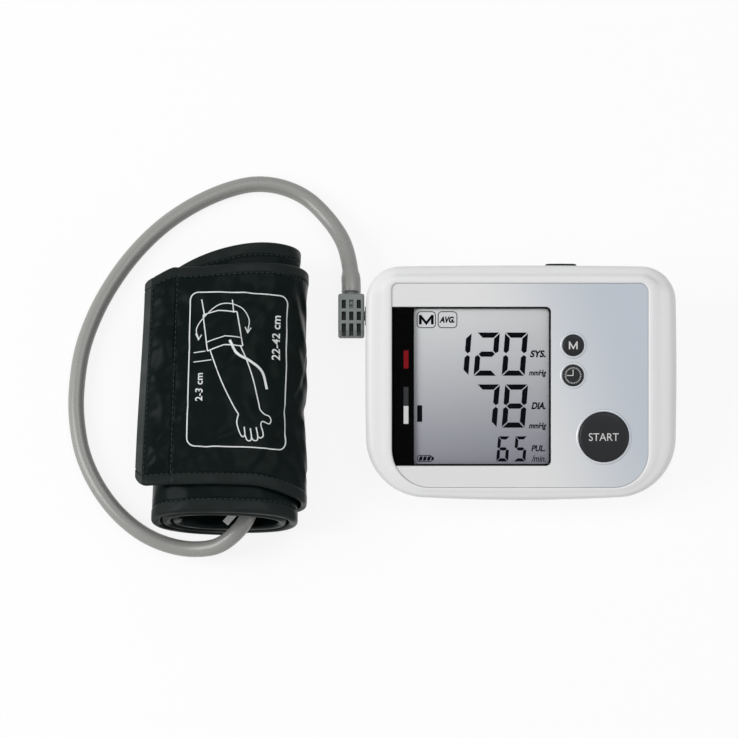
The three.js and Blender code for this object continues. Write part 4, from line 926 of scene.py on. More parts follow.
# A line of even width through points, with mitred corners
def strokeBmesh(points, width, thickness=ink, closed=False):
    points = [Vector(p).to_2d() for p in points]
    bm = bmesh.new()
    pairs = []
    last = len(points) - 1
    for i, p in enumerate(points):
        before = points[i - 1] if i or closed else None
        after = points[(i + 1) % len(points)] if i < last or closed else None
        along = [(b - a).normalized() for a, b in ((before, p), (p, after)) if a is not None and b is not None]
        middle = sum(along, Vector((0, 0))).normalized()
        side = Vector((-middle.y, middle.x)) * width / 2 / max(middle.dot(along[0]), 0.5)
        pairs.append([bm.verts.new((*(p + side * k), 0)) for k in (1, -1)])
    runs = list(zip(pairs, pairs[1:])) + ([(pairs[-1], pairs[0])] if closed else [])
    for (a, b), (c, d) in runs:
        bm.faces.new((a, b, d, c))
    thicken(bm, thickness)
    return bm


def capitalM(width, height, weight):
    w, h = (width - weight) / 2, height / 2
    bm = strokeBmesh([(-w, -h), (-w, h)], weight)
    addInto(bm, strokeBmesh([(w, -h), (w, h)], weight))
    addInto(bm, strokeBmesh([(-w, h - weight * 0.3), (0, -h * 0.75), (w, h - weight * 0.3)], weight * 0.9))
    return bm


# Seven-segment digits with mitred ends, from the width, height and stroke in mm
digitSegments = {"0": "abcdef", "1": "bc", "2": "abged", "5": "afgcd", "6": "afgedc", "7": "abc",
                 "8": "abcdefg"}


def digitBmesh(digit, width, height, stroke):
    w, h, t, g = width / 2, height / 2, stroke, stroke * 0.16
    top = [(-w + g, h), (w - g, h), (w - t - g, h - t), (t - w + g, h - t)]
    left = [(-w, h - g), (t - w, h - t - g), (t - w, t / 2 + g), (t / 2 - w, g), (-w, g + t * 0.35)]
    middle = [(t / 2 - w + g, 0), (t - w + g, t / 2), (w - t - g, t / 2), (w - t / 2 - g, 0),
              (w - t - g, -t / 2), (t - w + g, -t / 2)]

    def mirrored(shape, x, y):
        return [(x * a, y * b) for a, b in shape]

    shapes = {"a": top, "d": mirrored(top, 1, -1), "f": left, "b": mirrored(left, -1, 1),
              "e": mirrored(left, 1, -1), "c": mirrored(left, -1, -1), "g": middle}
    bm = bmesh.new()
    for name in digitSegments[digit]:
        bm.faces.new([bm.verts.new((*p, 0)) for p in shapes[name]])
    thicken(bm, ink)
    return bm


# Numbers: text, right edge, height from and to, digit's width, pitch and stroke
lcdSetup = {
    "depth": -2.7, "lift": 0.01, "lean": 0.08, "wordLean": 0.2, "line": 0.4,
    "pane": {"overlap": 2.4, "thickness": 2.6, "round": 0.2},
    "shadeGasket": {"outer": 0.25, "inner": 0.35, "under": 0.35},
    "numbers": {"upper": ("120", 3.7, (3.2, 25.6), 11.9, 14.6, 2.7),
                "middle": ("78", 3.7, (-23.7, -1.3), 11.9, 14.6, 2.7),
                "lower": ("65", 3.3, (-41.2, -28.2), 6.1, 9, 1.6)},
    "labels": [("SYS.", (4.6, 13.4), (12.7, 16.4), 0.04), ("mmHg", (3.9, 13.4), (2.4, 6.3), 0.032),
               ("DIA.", (5.4, 13.4), (-14.2, -10.5), 0.04), ("mmHg", (3.9, 13.4), (-25, -21.1), 0.032),
               ("PUL.", (5.4, 13), (-36, -32.8), 0.03), ("/min.", (5.4, 13.4), (-41.4, -38), 0.015)],
    "marks": [((-54, -44.1), (27.9, 36.6)), ((-43.1, -33), (27.9, 36.6))], "markCorner": 2.1,
    "block": ((-53.8, -51.2), (-20.7, -12.1)),
    "battery": {"box": ((-53.8, -46), (-41.5, -37.9)), "corner": 1.3, "pole": ((-46, -45.2), (-40.6, -38.8)),
                "bars": (-51.9, -49.8, -47.7), "bar": (0.8, 1.1), "middle": -39.7, "lean": 0.3},
}


def roundBox(x, y, radius):
    return {"left": x[0], "right": x[1], "front": y[0], "rear": y[1], "radii": (radius,) * 4, "bow": (0,) * 4}


def makeLcd(c):
    edges = lcdOpening()
    glass, seal = c["pane"], c["shadeGasket"]
    over = glass["overlap"]
    pane = boxBmesh(edges["left"] - over, edges["right"] + over, edges["front"] - over, edges["rear"] + over,
                    c["depth"] - glass["thickness"], c["depth"])
    bevelSharp(pane, glass["round"])
    placed(pane, "lcdPane", faceFrame, "display", "monitor", ["lcd_glass"])
    lensUnder = -panelSetup["lensThickness"]
    # A dark ring round the display's opening: painted shade that deepens the recess's real shade at the display's
    # edges
    shadeGasket = prismBmesh(outline(edges, seal["outer"]), c["depth"], lensUnder - seal["under"])
    shadeGasket = cut(shadeGasket, prismBmesh(outline(edges, -seal["inner"]), -6, 6))
    placed(shadeGasket, "displayShadeGasket", faceFrame, "shadeGasket", "monitor")
    top = c["depth"] + c["lift"]
    for name, (text, right, (y0, y1), width, pitch, stroke) in c["numbers"].items():
        digits = bmesh.new()
        height = y1 - y0
        for i, digit in enumerate(reversed(text)):
            shape = digitBmesh(digit, width, height, stroke)
            x = right - width / 2 - i * pitch - c["lean"] * height / 2
            addInto(digits, moved(shape, x, (y0 + y1) / 2, top, c["lean"]))
        placed(digits, "lcdNumber" + name.capitalize(), faceFrame, "segments", "monitor")
    words = bmesh.new()
    for text, (x0, x1), (y0, y1), weight in c["labels"]:
        lean = c["wordLean"] * (y1 - y0)
        word = letterBmesh(text, x1 - x0 - lean, y1 - y0, weight=weight)
        addInto(words, moved(word, (x0 + x1) / 2, (y0 + y1) / 2, top, c["wordLean"]))
    placed(words, "lcdLabels", faceFrame, "segments", "monitor")
    # round-cornered marks with M and AVG., the battery mark and the block between them
    marks = bmesh.new()
    letters = [capitalM(7.6, 4.9, 1.4),
               moved(letterBmesh("AVG.", 7.8, 3.3, weight=0.05), 0, 0, 0, c["wordLean"])]
    cell = c["battery"]
    boxes = [(x, y, c["markCorner"], 6) for x, y in c["marks"]] + [(*cell["box"], cell["corner"], 3)]
    for x, y, corner, steps in boxes:
        line = outline(roundBox(x, y, corner), -c["line"] / 2, steps, 2)
        addInto(marks, moved(strokeBmesh(line, c["line"], closed=True), 0, 0, top))
    for (x, y), letter in zip(c["marks"], letters):
        addInto(marks, moved(letter, sum(x) / 2, sum(y) / 2, top))
    for x, y in (c["block"], cell["pole"]):
        addInto(marks, boxBmesh(*x, *y, top, top + ink))
    half, tall = cell["bar"]
    for x in cell["bars"]:
        bar = boxBmesh(-half, half, -tall, tall, 0, ink)
        addInto(marks, moved(bar, x, cell["middle"], top, cell["lean"]))
    placed(marks, "lcdMarks", faceFrame, "segments", "monitor")


makeLcd(lcdSetup)
print("display")


# Buttons: a turned cap with a soft shoulder, a collar under the panel and a stem to its switch
capSetup = {"under": -2.7, "collar": (1.4, -3.6), "stem": (2.2, -5.8), "shoulder": (1.7, 0.24), "steps": 20}


def buttonHeight(b, distance):
    share = min(distance / b["radius"], 1)
    return b["rise"] - b["dome"] * (0.16 * share ** 2 + 0.3 * share ** 9)


def makeButton(name, b, c):
    r = b["radius"]
    width, low = c["collar"]
    stem, end = c["stem"]
    shoulder = min(c["shoulder"][0], r * c["shoulder"][1])
    across = [r * k / c["steps"] for k in range(c["steps"])]
    crown = [(x, buttonHeight(b, x)) for x in across if x < r - shoulder]
    edge = []
    for k in range(1, 9):
        angle = pi / 2 * k / 8
        edge.append((r - shoulder + shoulder * sin(angle), crown[-1][1] - b["rise"] * 0.8 * (1 - cos(angle))))
    below = [(r, c["under"]), (r + width, c["under"]), (r + width, low), (stem, low), (stem, end), (0, end)]
    cap = moved(turnedBmesh(crown + edge + below), *b["spot"])
    placed(cap, name + "Button", faceFrame, "button", name + "_button", [name + "_button"], 40)
    bead = moved(turnedBmesh([(r + d, h) for d, h in b["bead"]]), *b["spot"])
    placed(bead, name + "Bead", faceFrame, "silverPanel", "monitor", degrees=60)


# Flat print laid on a button's crown
def printOnButton(name, bm, b, body):
    long = [e for e in bm.edges if e.calc_length() > 0.8]
    bmesh.ops.subdivide_edges(bm, edges=long, cuts=2, use_grid_fill=False)
    for v in bm.verts:
        v.co.z += buttonHeight(b, v.co.xy.length) + 0.01
    placed(moved(bm, *b["spot"]), name, faceFrame, "printWhite", body)


clockSetup = {"radius": 3.95, "ticks": 30, "tick": (0.3, 0.75), "hand": 0.42, "up": 3.1, "left": 3.3}


def clockSymbol(c):
    bm = bmesh.new()
    width, length = c["tick"]
    for k in range(c["ticks"]):
        tick = boxBmesh(-width / 2, width / 2, -length / 2, length / 2, 0, ink)
        turn = Matrix.Rotation(2 * pi * k / c["ticks"], 4, "Z") @ Matrix.Translation((0, c["radius"], 0))
        bmesh.ops.transform(tick, matrix=turn, verts=tick.verts)
        addInto(bm, tick)
    addInto(bm, strokeBmesh([(0, c["up"]), (0, 0), (-c["left"], 0)], c["hand"]))
    return bm


for buttonName, button in buttonSetup.items():
    makeButton(buttonName, button, capSetup)
printOnButton("startLettering", letterBmesh("START", 15.5, 4, weight=0), buttonSetup["start"], "start_button")
printOnButton("memoryLettering", capitalM(4.6, 4, 0.75), buttonSetup["memory"], "memory_button")
printOnButton("clockSymbol", clockSymbol(clockSetup), buttonSetup["clock"], "clock_button")
print("buttons")

makeDoor(doorSetup, caseSetup, baySetup)
for spotName in screwSpots:
    makeScrew(spotName, screwSpots[spotName], fixingSetup)
    makeFoot(spotName, footSpots[spotName], fixingSetup)
makeCells(cellSetup)
print("door, fixings and cells")

# Plug of the air hose: a block with square pockets, dark pads in them as painted shade, and a neck with a rib to
# the hose
plugSetup = {"width": 13.6, "length": 20.7, "height": 14, "round": 1.2, "edge": 0.25, "toCase": 0.9,
             "pocket": (2.2, 4.7, 1.5), "pitch": (3.9, 6.4), "rows": -1.9, "slot": 9, "seat": (4, 2.75),
             "neckRadius": 3.4, "neckLength": 1.8, "rib": (1.3, 6.5),
             "pad": {"gap": 0.05, "under": 0.1, "sunk": 0.8, "round": 0.35}}
plugX = monitorX - caseHalfWidth - plugSetup["toCase"] - plugSetup["width"] / 2


def makePlug(c):
    w, l, h = c["width"] / 2, c["length"] / 2, c["height"] / 2
    body = boxBmesh(-w, w, -l, l, -h, h)
    bevelSharp(body, c["round"], 5)
    deep, bore = c["seat"]
    steps = [("DIFFERENCE", rodBmesh((w - deep, 0, 0), (w + deep, 0, 0), bore))]
    pw, pl, depth = c["pocket"]
    pad = c["pad"]
    pads = bmesh.new()
    past = 3
    for i in (-1, 0, 1):
        x = i * c["pitch"][0]
        for j in (-1, 0, 1):
            y = j * c["pitch"][1] + c["rows"]
            front = y - pl / 2 if j > -1 else -l - past
            pocket = boxBmesh(x - pw / 2, x + pw / 2, front, y + pl / 2, h - depth, h + past)
            steps.append(("DIFFERENCE", pocket))
            if (i, j) != (0, 1):  # the rib leaves no room for this one
                # a dark pad in the pocket, painted shade
                half, tall = pw / 2 - pad["gap"], pl / 2 - pad["gap"]
                grip = boxBmesh(x - half, x + half, y - tall, y + tall, h - depth - pad["under"],
                                h - pad["sunk"])
                bevelSharp(grip, pad["round"], 3)
                addInto(pads, grip)
        slot = boxBmesh(x - pw / 2, x + pw / 2, -l - past, -l + depth, h - c["slot"], h + past)
        steps.append(("DIFFERENCE", slot))
    ribEnd, ribReach = c["rib"]
    neckEnd = l + c["neckLength"]
    steps.append(("UNION", rodBmesh((0, l - past, 0), (0, neckEnd, 0), c["neckRadius"])))
    rib = rodBmesh((0, neckEnd, 0), (0, l - ribReach, h - ribEnd), c["neckRadius"], 32, ribEnd)
    steps.append(("UNION", rib))
    where = Matrix.Translation((plugX, *socketSpot))
    plug = placed(combine(body, steps), "hosePlug", where, "plugPlastic", "cuff_set",
                  ["plug_body"])
    roundEdges(plug, c["edge"])
    return plug, placed(pads, "pocketShadePads", where, "pocketShadeFill", "cuff_set")


plug, pocketShadePads = makePlug(plugSetup)
print("plug")

# Cover of the rear port: a soft lid that rolls about its lower edge, with a finger lip
coverSetup = {"width": 16.3, "thickness": 1.0, "top": 45.9, "corner": 2.2, "round": 0.4, "proud": 0.35,
              "lip": {"width": 6, "height": 1.6, "fromTop": 1.2, "root": 0.2, "round": 0.25},
              "hinge": {"height": 0.9, "radius": 0.85, "inset": 2}}


def makeRearCover(c):
    low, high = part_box("rear_port_cover")
    x, rear = (low[0] + high[0]) / 2 / mm - monitorX, high[1] / mm
    lip, hinge = c["lip"], c["hinge"]
    axis = low[2] / mm + hinge["height"]
    shape = outline(roundBox((-c["width"] / 2, c["width"] / 2), (axis, c["top"]), c["corner"]), 0, 6, 3)
    plate = prismBmesh(shape, -c["thickness"], 0)
    bevelSharp(plate, c["round"], 3, 50)
    lipTop = c["top"] - lip["fromTop"]
    half = lip["width"] / 2
    grip = boxBmesh(-half, half, lipTop - lip["height"], lipTop, -lip["root"], c["proud"])
    bevelSharp(grip, lip["round"], 2)
    addInto(plate, grip)
    # drawn lying down: its face turns to the rear
    upright = Matrix(((-1, 0, 0, x), (0, 0, 1, rear - c["proud"]), (0, 1, 0, 0), (0, 0, 0, 1)))
    bmesh.ops.transform(plate, matrix=upright, verts=plate.verts)
    reach = c["width"] / 2 - hinge["inset"]
    ends = [(x + side * reach, rear - hinge["height"], axis) for side in (-1, 1)]
    addInto(plate, rodBmesh(*ends, hinge["radius"], 24))
    return placed(plate, "rearPortCover", monitorFrame, "rubber", "rear_port_cover",
                  ["rear_port_cover"])


makeRearCover(coverSetup)

# Cuff: one spiral, the flap outside and the sleeve under it
rollSetup = {"width": 81, "height": 51, "squareness": 2.5, "turns": 2.85, "flapTurns": 0.49, "start": 100,
             "flapThickness": 3, "sleeveThickness": 4.8, "flapGap": 0.9, "layerGap": 0.6, "tableCut": 0.5,
             "tail": [(-47.2, 16.4), (-42, 19.2), (-33, 21.9), (-22.5, 23.8)]}
rollA = rollSetup["width"] / 2 - rollSetup["flapThickness"] / 2
firstStep = rollSetup["flapThickness"] / 2 + rollSetup["flapGap"] + rollSetup["sleeveThickness"] / 2
nextStep = rollSetup["sleeveThickness"] + rollSetup["layerGap"]
halfTurnBelow = (rollSetup["start"] + 90) / 360
middleHeight = rollSetup["height"] + rollSetup["tableCut"] - rollSetup["flapThickness"]
rollB = (middleHeight + firstStep * halfTurnBelow) / 2
rollZ = rollSetup["height"] - rollSetup["flapThickness"] / 2 - rollB


def spiralPoint(turns):
    angle = radians(rollSetup["start"] - turns * 360)
    power = 2 / rollSetup["squareness"]
    inward = firstStep * min(turns, 1) + nextStep * max(turns - 1, 0)
    c, s = cos(angle), sin(angle)
    return Vector(((rollA - inward) * copysign(abs(c) ** power, c),
                   rollZ + (rollB - inward) * copysign(abs(s) ** power, s)))


def spiralLine(start, end, perTurn=120):
    steps = round((end - start) * perTurn)
    return [spiralPoint(start + (end - start) * k / steps) for k in range(steps + 1)]


# A line that gives its point and its normal at a distance from its start
class Track:
    def __init__(self, line):
        self.line = line
        self.at = [0]
        for a, b in zip(line, line[1:]):
            self.at.append(self.at[-1] + (b - a).length)
        self.length = self.at[-1]

    def point(self, distance):
        i = min(max(bisect_left(self.at, distance), 1), len(self.at) - 1)
        u = (distance - self.at[i - 1]) / (self.at[i] - self.at[i - 1])
        return self.line[i - 1].lerp(self.line[i], u)

    def normal(self, distance):
        along = self.point(min(distance + 0.6, self.length)) - self.point(max(distance - 0.6, 0))
        return Vector((-along.y, along.x)).normalized()


def evenly(start, end, step):
    count = max(round(abs(end - start) / step), 1)
    return [start + (end - start) * k / count for k in range(count + 1)]


# Section of a band: (y, height) pairs, with bound edges that stand a little proud of the outer side
def cuffSection(c):
    half, t, edge, bind = c["width"] / 2, c["thickness"] / 2, c["edge"], c["binding"]
    high = t + bind["lift"]
    turn = [pi / 2 * k / 5 for k in range(6)]
    side = [(half - edge * (1 - cos(a)), high * sin(a)) for a in turn]
    inner = half - bind["width"]
    side += [(inner + 1.4, high + 0.1), (inner + 0.5, high), (inner, t - bind["groove"]), (inner - 0.6, t)]
    flat = [(y, t) for y in evenly(inner - 1.6, 1.6 - inner, 1.4)]
    upper = side + flat + [(-y, h) for y, h in reversed(side)]
    under = [(-half + edge * (1 - cos(a)), -t * sin(a)) for a in turn[1:]]
    below = [(y, -t) for y in evenly(2 * edge - half, half - 2 * edge, 6)]
    return upper + under + below + [(-y, h) for y, h in reversed(under)]


# Bands are lofted station by station, with a UV map in mm and a "binding" mark where the edge tape is
def bandBmesh(track, c, stations):
    bm = bmesh.new()
    uvLayer = bm.loops.layers.uv.new("clothUV")
    mark = bm.verts.layers.float.new("binding")
    section = cuffSection(c)
    girth = [0]
    for a, b in zip(section, section[1:]):
        girth.append(girth[-1] + (Vector(b) - Vector(a)).length)
    place = {}
    verts = edges = firstEdges = None
    for distance in stations:
        ring = [bandPoint(track, c, distance, y, h) for y, h in section]
        if verts is None:
            verts, edges = startLoop(bm, ring)
            firstEdges = edges
        else:
            verts, edges = pullLoop(bm, verts, edges, ring)
        for v, g, (y, h) in zip(verts, girth, section):
            place[v] = (distance, g)
            hem = 0.3 if abs(y) > c["width"] / 2 - c["binding"]["width"] else 0
            v[mark] = max(hem, distance < c["binding"]["end"]) if h > -c["thickness"] / 3 else 0
    caps = []
    for end in (firstEdges, edges):
        caps += bmesh.ops.edgeloop_fill(bm, edges=end)["faces"]
    bmesh.ops.recalc_face_normals(bm, faces=bm.faces)
    total = girth[-1]
    for face in bm.faces:
        around = [place[loop.vert][1] for loop in face.loops]
        wraps = max(around) - min(around) > total / 2 and face not in caps
        for loop, g in zip(face.loops, around):
            loop[uvLayer].uv = (place[loop.vert][0], g + total if wraps and g < total / 2 else g)
    return bm


# Where a point of a band's section is, after its edges' own line and the cloth's creases
def bandPoint(track, c, distance, y, height):
    half = c["width"] / 2
    p = track.point(distance)
    front, rear = c["edges"](c, distance, p.x)
    across = front + (rear - front) * (y + half) / (2 * half)
    flare = c["flare"][p.x > 0] * abs(p.x) / 40 * smoothShare(-y / half)
    slant, reach = c["slant"]
    flare += slant * smoothShare(y / half / 2 + 0.5) * smoothShare(1 - distance / reach)
    p += track.normal(distance) * (height + c["creases"](c, distance, y, height))
    return Vector((p.x + flare, across, max(p.y, 0.02)))


joint = 0.004  # of a turn, between the flap's end and the sleeve's start
flapLine = smoothLine([(x, z + rollZ) for x, z in rollSetup["tail"]] + [spiralPoint(joint)], 8)[:-1]
flapTrack = Track(flapLine + spiralLine(joint, rollSetup["flapTurns"]))
sleeveTrack = Track(spiralLine(rollSetup["flapTurns"] + joint, rollSetup["turns"]))


# The flap's free end: its rear corner is cut back, its front corner is round. Spread is how far an edge
# runs out, from which x on, and over how much
def flapEdges(c, distance, x):
    half = c["width"] / 2
    cutBack, run = c["rearCut"]
    spread = {side: by * smoothShare((x - start) / over) for side, (by, start, over) in c["spread"].items()}
    rear = half - cutBack * max(1 - distance / run, 0) ** 1.2 + spread["rear"]
    front = -half - spread["front"]
    for radius, sign in ((c["frontCorner"], 1), (c["rearCorner"], -1)):
        if distance < radius:
            bite = radius - (radius ** 2 - (radius - distance) ** 2) ** 0.5
            front, rear = (front + bite, rear) if sign > 0 else (front, rear - bite)
    return front, rear


# Cloth that isn't flat: noise with its own size along and across the band, and how it slants
def unrest(distance, y, size):
    along = distance / size["along"] + y / size["slant"]
    return noise.noise(Vector((along, y / size["across"], size["seed"])))


# Height in mm that a sine row of puckers has next to a seam
def puckers(along, height, away, reach):
    return height * sin(along) * max(1 - away / reach, 0)


creaseSetup = {
    "broad": {"along": 26, "across": 34, "slant": inf, "seed": 3.1}, "broadHeight": 1.6,
    "fine": {"along": 8, "across": 15, "slant": 20, "seed": 7.7}, "fineHeight": 0.9,
    "fold": {"along": 30, "across": 60, "slant": -40, "seed": 1.3}, "foldDepth": 0.75, "foldSharp": 8,
    "toGroove": 0.6, "grooves": ((0.4, 0.7), (0.5, 1)),  # depth and half width, at the bound end and the seam
    # pitch, height and reach of the puckers
    "seamPucker": (1.1, 0.2, 6), "endPucker": (0.62, 0.35, 5), "hemPucker": (1.1, 0.14, 7),
}


# Bound free end, sewn seam, and soft creases that fade towards the sewn edges
def flapCreases(c, distance, y, height):
    if height < 0:
        return 0
    s, end, seam = creaseSetup, c["binding"]["end"], c["seam"]
    fromHem = c["width"] / 2 - c["binding"]["width"] - abs(y)
    lift = c["binding"]["lift"] if distance < end and fromHem > 0 else 0
    for at, (depth, reach) in zip((end + s["toGroove"], seam), s["grooves"]):
        lift -= depth * max(1 - (abs(distance - at) / reach) ** 2, 0)
    if end < distance < seam:  # the strip of hook tape fills out between its two seams
        lift += c["puff"] * sin(pi * (distance - end) / (seam - end)) * smoothShare(fromHem / 6)
    inside = clamped(fromHem / 9) * clamped((distance - 5) / 6) * clamped((flapTrack.length - distance) / 20)
    soft = unrest(distance, y, s["broad"]) * s["broadHeight"]
    soft += unrest(distance, y, s["fine"]) * s["fineHeight"]
    soft -= s["foldDepth"] * max(1 - (unrest(distance, y, s["fold"]) * s["foldSharp"]) ** 2, 0) ** 2
    wave = 3 * noise.noise(Vector((y / 9, 0, 0)))
    pitch, high, reach = s["seamPucker"]
    lift += puckers(y * pitch + wave, high, abs(distance - seam), reach)
    pitch, high, reach = s["endPucker"]
    lift += puckers(y * pitch + wave, high, abs(distance - end - 3.5), reach)
    if fromHem > 0:
        pitch, high, reach = s["hemPucker"]
        wave = 2 * noise.noise(Vector((distance / 8, 5, 0)))
        lift += puckers(distance * pitch + wave, high, fromHem, reach)
    return lift + soft * inside


flapSetup = {"width": 117, "thickness": 3, "edge": 1.3, "seam": 19.5, "puff": 1.2, "rearCut": (7, 17),
             "frontCorner": 7, "rearCorner": 2.5, "spread": {"front": (4, 12, 28), "rear": (3.8, -26, 55)},
             "flare": (0, 2), "slant": (2.4, 30),
             "binding": {"width": 5.6, "lift": 0.3, "groove": 0.35, "end": 4.6},
             "edges": flapEdges, "creases": flapCreases}


# The sleeve's rear edge runs out to the right, as a loosely rolled cuff's does
def sleeveEdges(c, distance, x):
    half = c["width"] / 2
    start, end = c["skewRun"]
    left = clamped((end - x) / (end - start))
    rear = half + c["reach"] - c["skew"] * left ** 2
    # the sewn start is as narrow as the flap
    narrow = flapSetup["width"] / 2 - 1
    full = smoothShare(distance / c["taper"])
    return -narrow - (half - narrow) * full, narrow + (rear - narrow) * full


def sleeveCreases(c, distance, y, height):
    if height < 0:
        return 0
    inside = min(max((c["width"] / 2 - abs(y)) / 10, 0.15), 1) * min(distance / 8, 1)
    soft = unrest(distance, y, c["soft"]) * 0.5
    fromHem = abs(abs(y) - c["width"] / 2 + c["binding"]["width"])
    return min(soft, 0.1) * inside - abs(puckers(distance * 1.2, 0.16, fromHem, 4))


sleeveSetup = {"width": 144.5, "thickness": 4.8, "edge": 1.8, "reach": 2.2, "skew": 15.5, "skewRun": (-30, 24),
               "taper": 12, "flare": (-1.4, 2.1), "slant": (0, 1),
               "soft": {"along": 24, "across": 26, "slant": inf, "seed": 12.4},
               "binding": {"width": 7, "lift": 0.15, "groove": 0.4, "end": 0},
               "edges": sleeveEdges, "creases": sleeveCreases}


def makeFlap(c):
    stations = evenly(0.6, 2, 0.3) + evenly(2.4, 7.2, 0.4) + evenly(8, c["seam"] - 1.6, 1.2)
    stations += evenly(c["seam"] - 1.1, c["seam"] + 1.1, 0.275)
    stations += evenly(c["seam"] + 1.7, flapTrack.length - 0.2, 1.3)
    band = bandBmesh(flapTrack, c, stations)
    return placed(band, "cuffFlap", cuffFrame, "cuffNylon", "cuff_set", ["cuff_flap"], 50)


def makeSleeve(c):
    band = bandBmesh(sleeveTrack, c, evenly(0.2, sleeveTrack.length - 0.2, 2))
    return placed(band, "cuffSleeve", cuffFrame, "cuffNylon", "cuff_set",
                  ["cuff_sleeve", "air_bladder"], 50)


flap = makeFlap(flapSetup)
sleeve = makeSleeve(sleeveSetup)
print("cuff")

# Rows of stitches, each a short low-faced grain
stitchSetup = {"length": 2, "width": 0.42, "pitch": 2.9, "step": 1.5, "sleeveRow": (2, 250), "flapLeft": 3,
               "lift": {"seam": 0.12, "end": 0.05, "hem": -0.28, "edge": -0.3}}


def stitchRow(bm, track, c, places):
    points = [bandPoint(track, c, distance, y, c["thickness"] / 2 + lift) for distance, y, lift in places]
    row = Track(points)
    for at in evenly(1, row.length - 1, stitchSetup["pitch"]):
        middle = row.point(at)
        middle.z = max(middle.z, stitchSetup["width"] / 2)
        along = (row.point(min(at + 0.8, row.length)) - row.point(max(at - 0.8, 0))).normalized()
        size = Matrix.Diagonal((stitchSetup["width"], stitchSetup["width"], stitchSetup["length"], 1))
        turn = along.to_track_quat("Z", "Y").to_matrix().to_4x4()
        bmesh.ops.create_uvsphere(bm, u_segments=6, v_segments=4, radius=0.5,
                                  matrix=Matrix.Translation(middle) @ turn @ size)


def makeStitches(flapC, sleeveC, c):
    bm = bmesh.new()
    lift, step = c["lift"], c["step"]
    hem = flapC["width"] / 2 - flapC["binding"]["width"]
    end = flapC["binding"]["end"] + creaseSetup["toGroove"]
    for at, high in ((flapC["seam"], lift["seam"]), (end, lift["end"])):
        stitchRow(bm, flapTrack, flapC, [(at, y, high) for y in evenly(-hem, hem, step)])
    edge = sleeveC["width"] / 2 - sleeveC["binding"]["width"]
    for sign in (-1, 1):
        row = [(d, sign * hem, lift["hem"]) for d in evenly(end, flapTrack.length - c["flapLeft"], step)]
        stitchRow(bm, flapTrack, flapC, row)
        row = [(d, sign * edge, lift["edge"]) for d in evenly(*c["sleeveRow"], step)]
        stitchRow(bm, sleeveTrack, sleeveC, row)
    return placed(bm, "cuffStitches", cuffFrame, "stitchThread", "cuff_set", recalc=False)


makeStitches(flapSetup, sleeveSetup, stitchSetup)

# Print on the flap: a frame, a plain wrapping picture of our own and the size it fits
printArea = {
    "left": -21.1, "front": -38.5, "size": (50.5, 83), "drawn": 56, "corner": 4.6, "line": 0.62, "lift": 0.1,
    "strokes": [
        ([(6.5, 79), (8.5, 70)], 0.6), ([(12, 52), (15.5, 43), (20, 33), (26, 22), (29, 17.5)], 0.6),
        ([(24, 79), (25, 72)], 0.6), ([(29, 54.5), (33, 46.5), (37, 36.5), (39.5, 27), (41, 20.5)], 0.6),
        ([(7.6, 70.5), (16, 73), (26.8, 72.6)], 0.6), ([(7.6, 70.5), (10.6, 51.2)], 0.6),
        ([(26.8, 72.6), (30.6, 54.2)], 0.6), ([(10.6, 51.2), (20, 54.6), (30.6, 54.2)], 0.6),
        ([(9.9, 55.8), (20.2, 59.2), (29.8, 58.6)], 0.5),
        ([(23, 57), (27.5, 50), (35, 46.2), (42, 41), (45, 32)], 1.3),
        ([(5.2, 58), (4, 63), (8, 69), (17, 76.4), (28, 75.6), (33.6, 69), (33.2, 62.5)], 0.5),
        ([(31.6, 64.4), (33.2, 61.6), (35, 64.2)], 0.5), ([(3.6, 60.4), (5.2, 57.4), (7, 60)], 0.5),
        ([(2.6, 50.4), (9.4, 51.2)], 0.45), ([(2.6, 45.4), (13, 46.6)], 0.45),
        ([(29, 17.5), (28.2, 13), (29.6, 8.6), (31.2, 5.6), (32.8, 6.6), (32.4, 11)], 0.6),
        ([(32.8, 6.6), (34, 3.8), (35.8, 3.6), (36.4, 5.4), (35.8, 10.4)], 0.6),
        ([(36.4, 5.4), (37.6, 3.8), (39.4, 4), (39.8, 6), (39, 11)], 0.6),
        ([(39.8, 6), (41.2, 5.2), (42.6, 6.2), (42.6, 8.4), (41.6, 13), (43, 14.4), (46.4, 13.6), (47.6, 15.4),
          (46.4, 17.4), (43.4, 18.4), (41, 20.5)], 0.6)],
    "words": [("22-42 cm", (49.6, 60), 24, 4.4), ("2-3 cm", (6.2, 32), 15, 3.8)],
}


def distanceAtX(x):
    return min(evenly(0, flapTrack.length * 0.5, 0.1), key=lambda d: abs(flapTrack.point(d).x - x))


# Lays a flat print of mm on the flap's outer side
def onFlap(bm, c):
    start = distanceAtX(c["left"])
    for reach in (4, 2, 1):
        long = [e for e in bm.edges if e.calc_length() > reach]
        bmesh.ops.subdivide_edges(bm, edges=long, cuts=1)
    bmesh.ops.triangulate(bm, faces=bm.faces[:])
    surface = flapSetup["thickness"] / 2 + c["lift"]
    for v in bm.verts:
        distance = start + v.co.x
        front, rear = flapEdges(flapSetup, distance, flapTrack.point(distance).x)
        y = ((c["front"] + v.co.y - front) / (rear - front) - 0.5) * flapSetup["width"]
        v.co = bandPoint(flapTrack, flapSetup, distance, y, surface + v.co.z)
    return bm


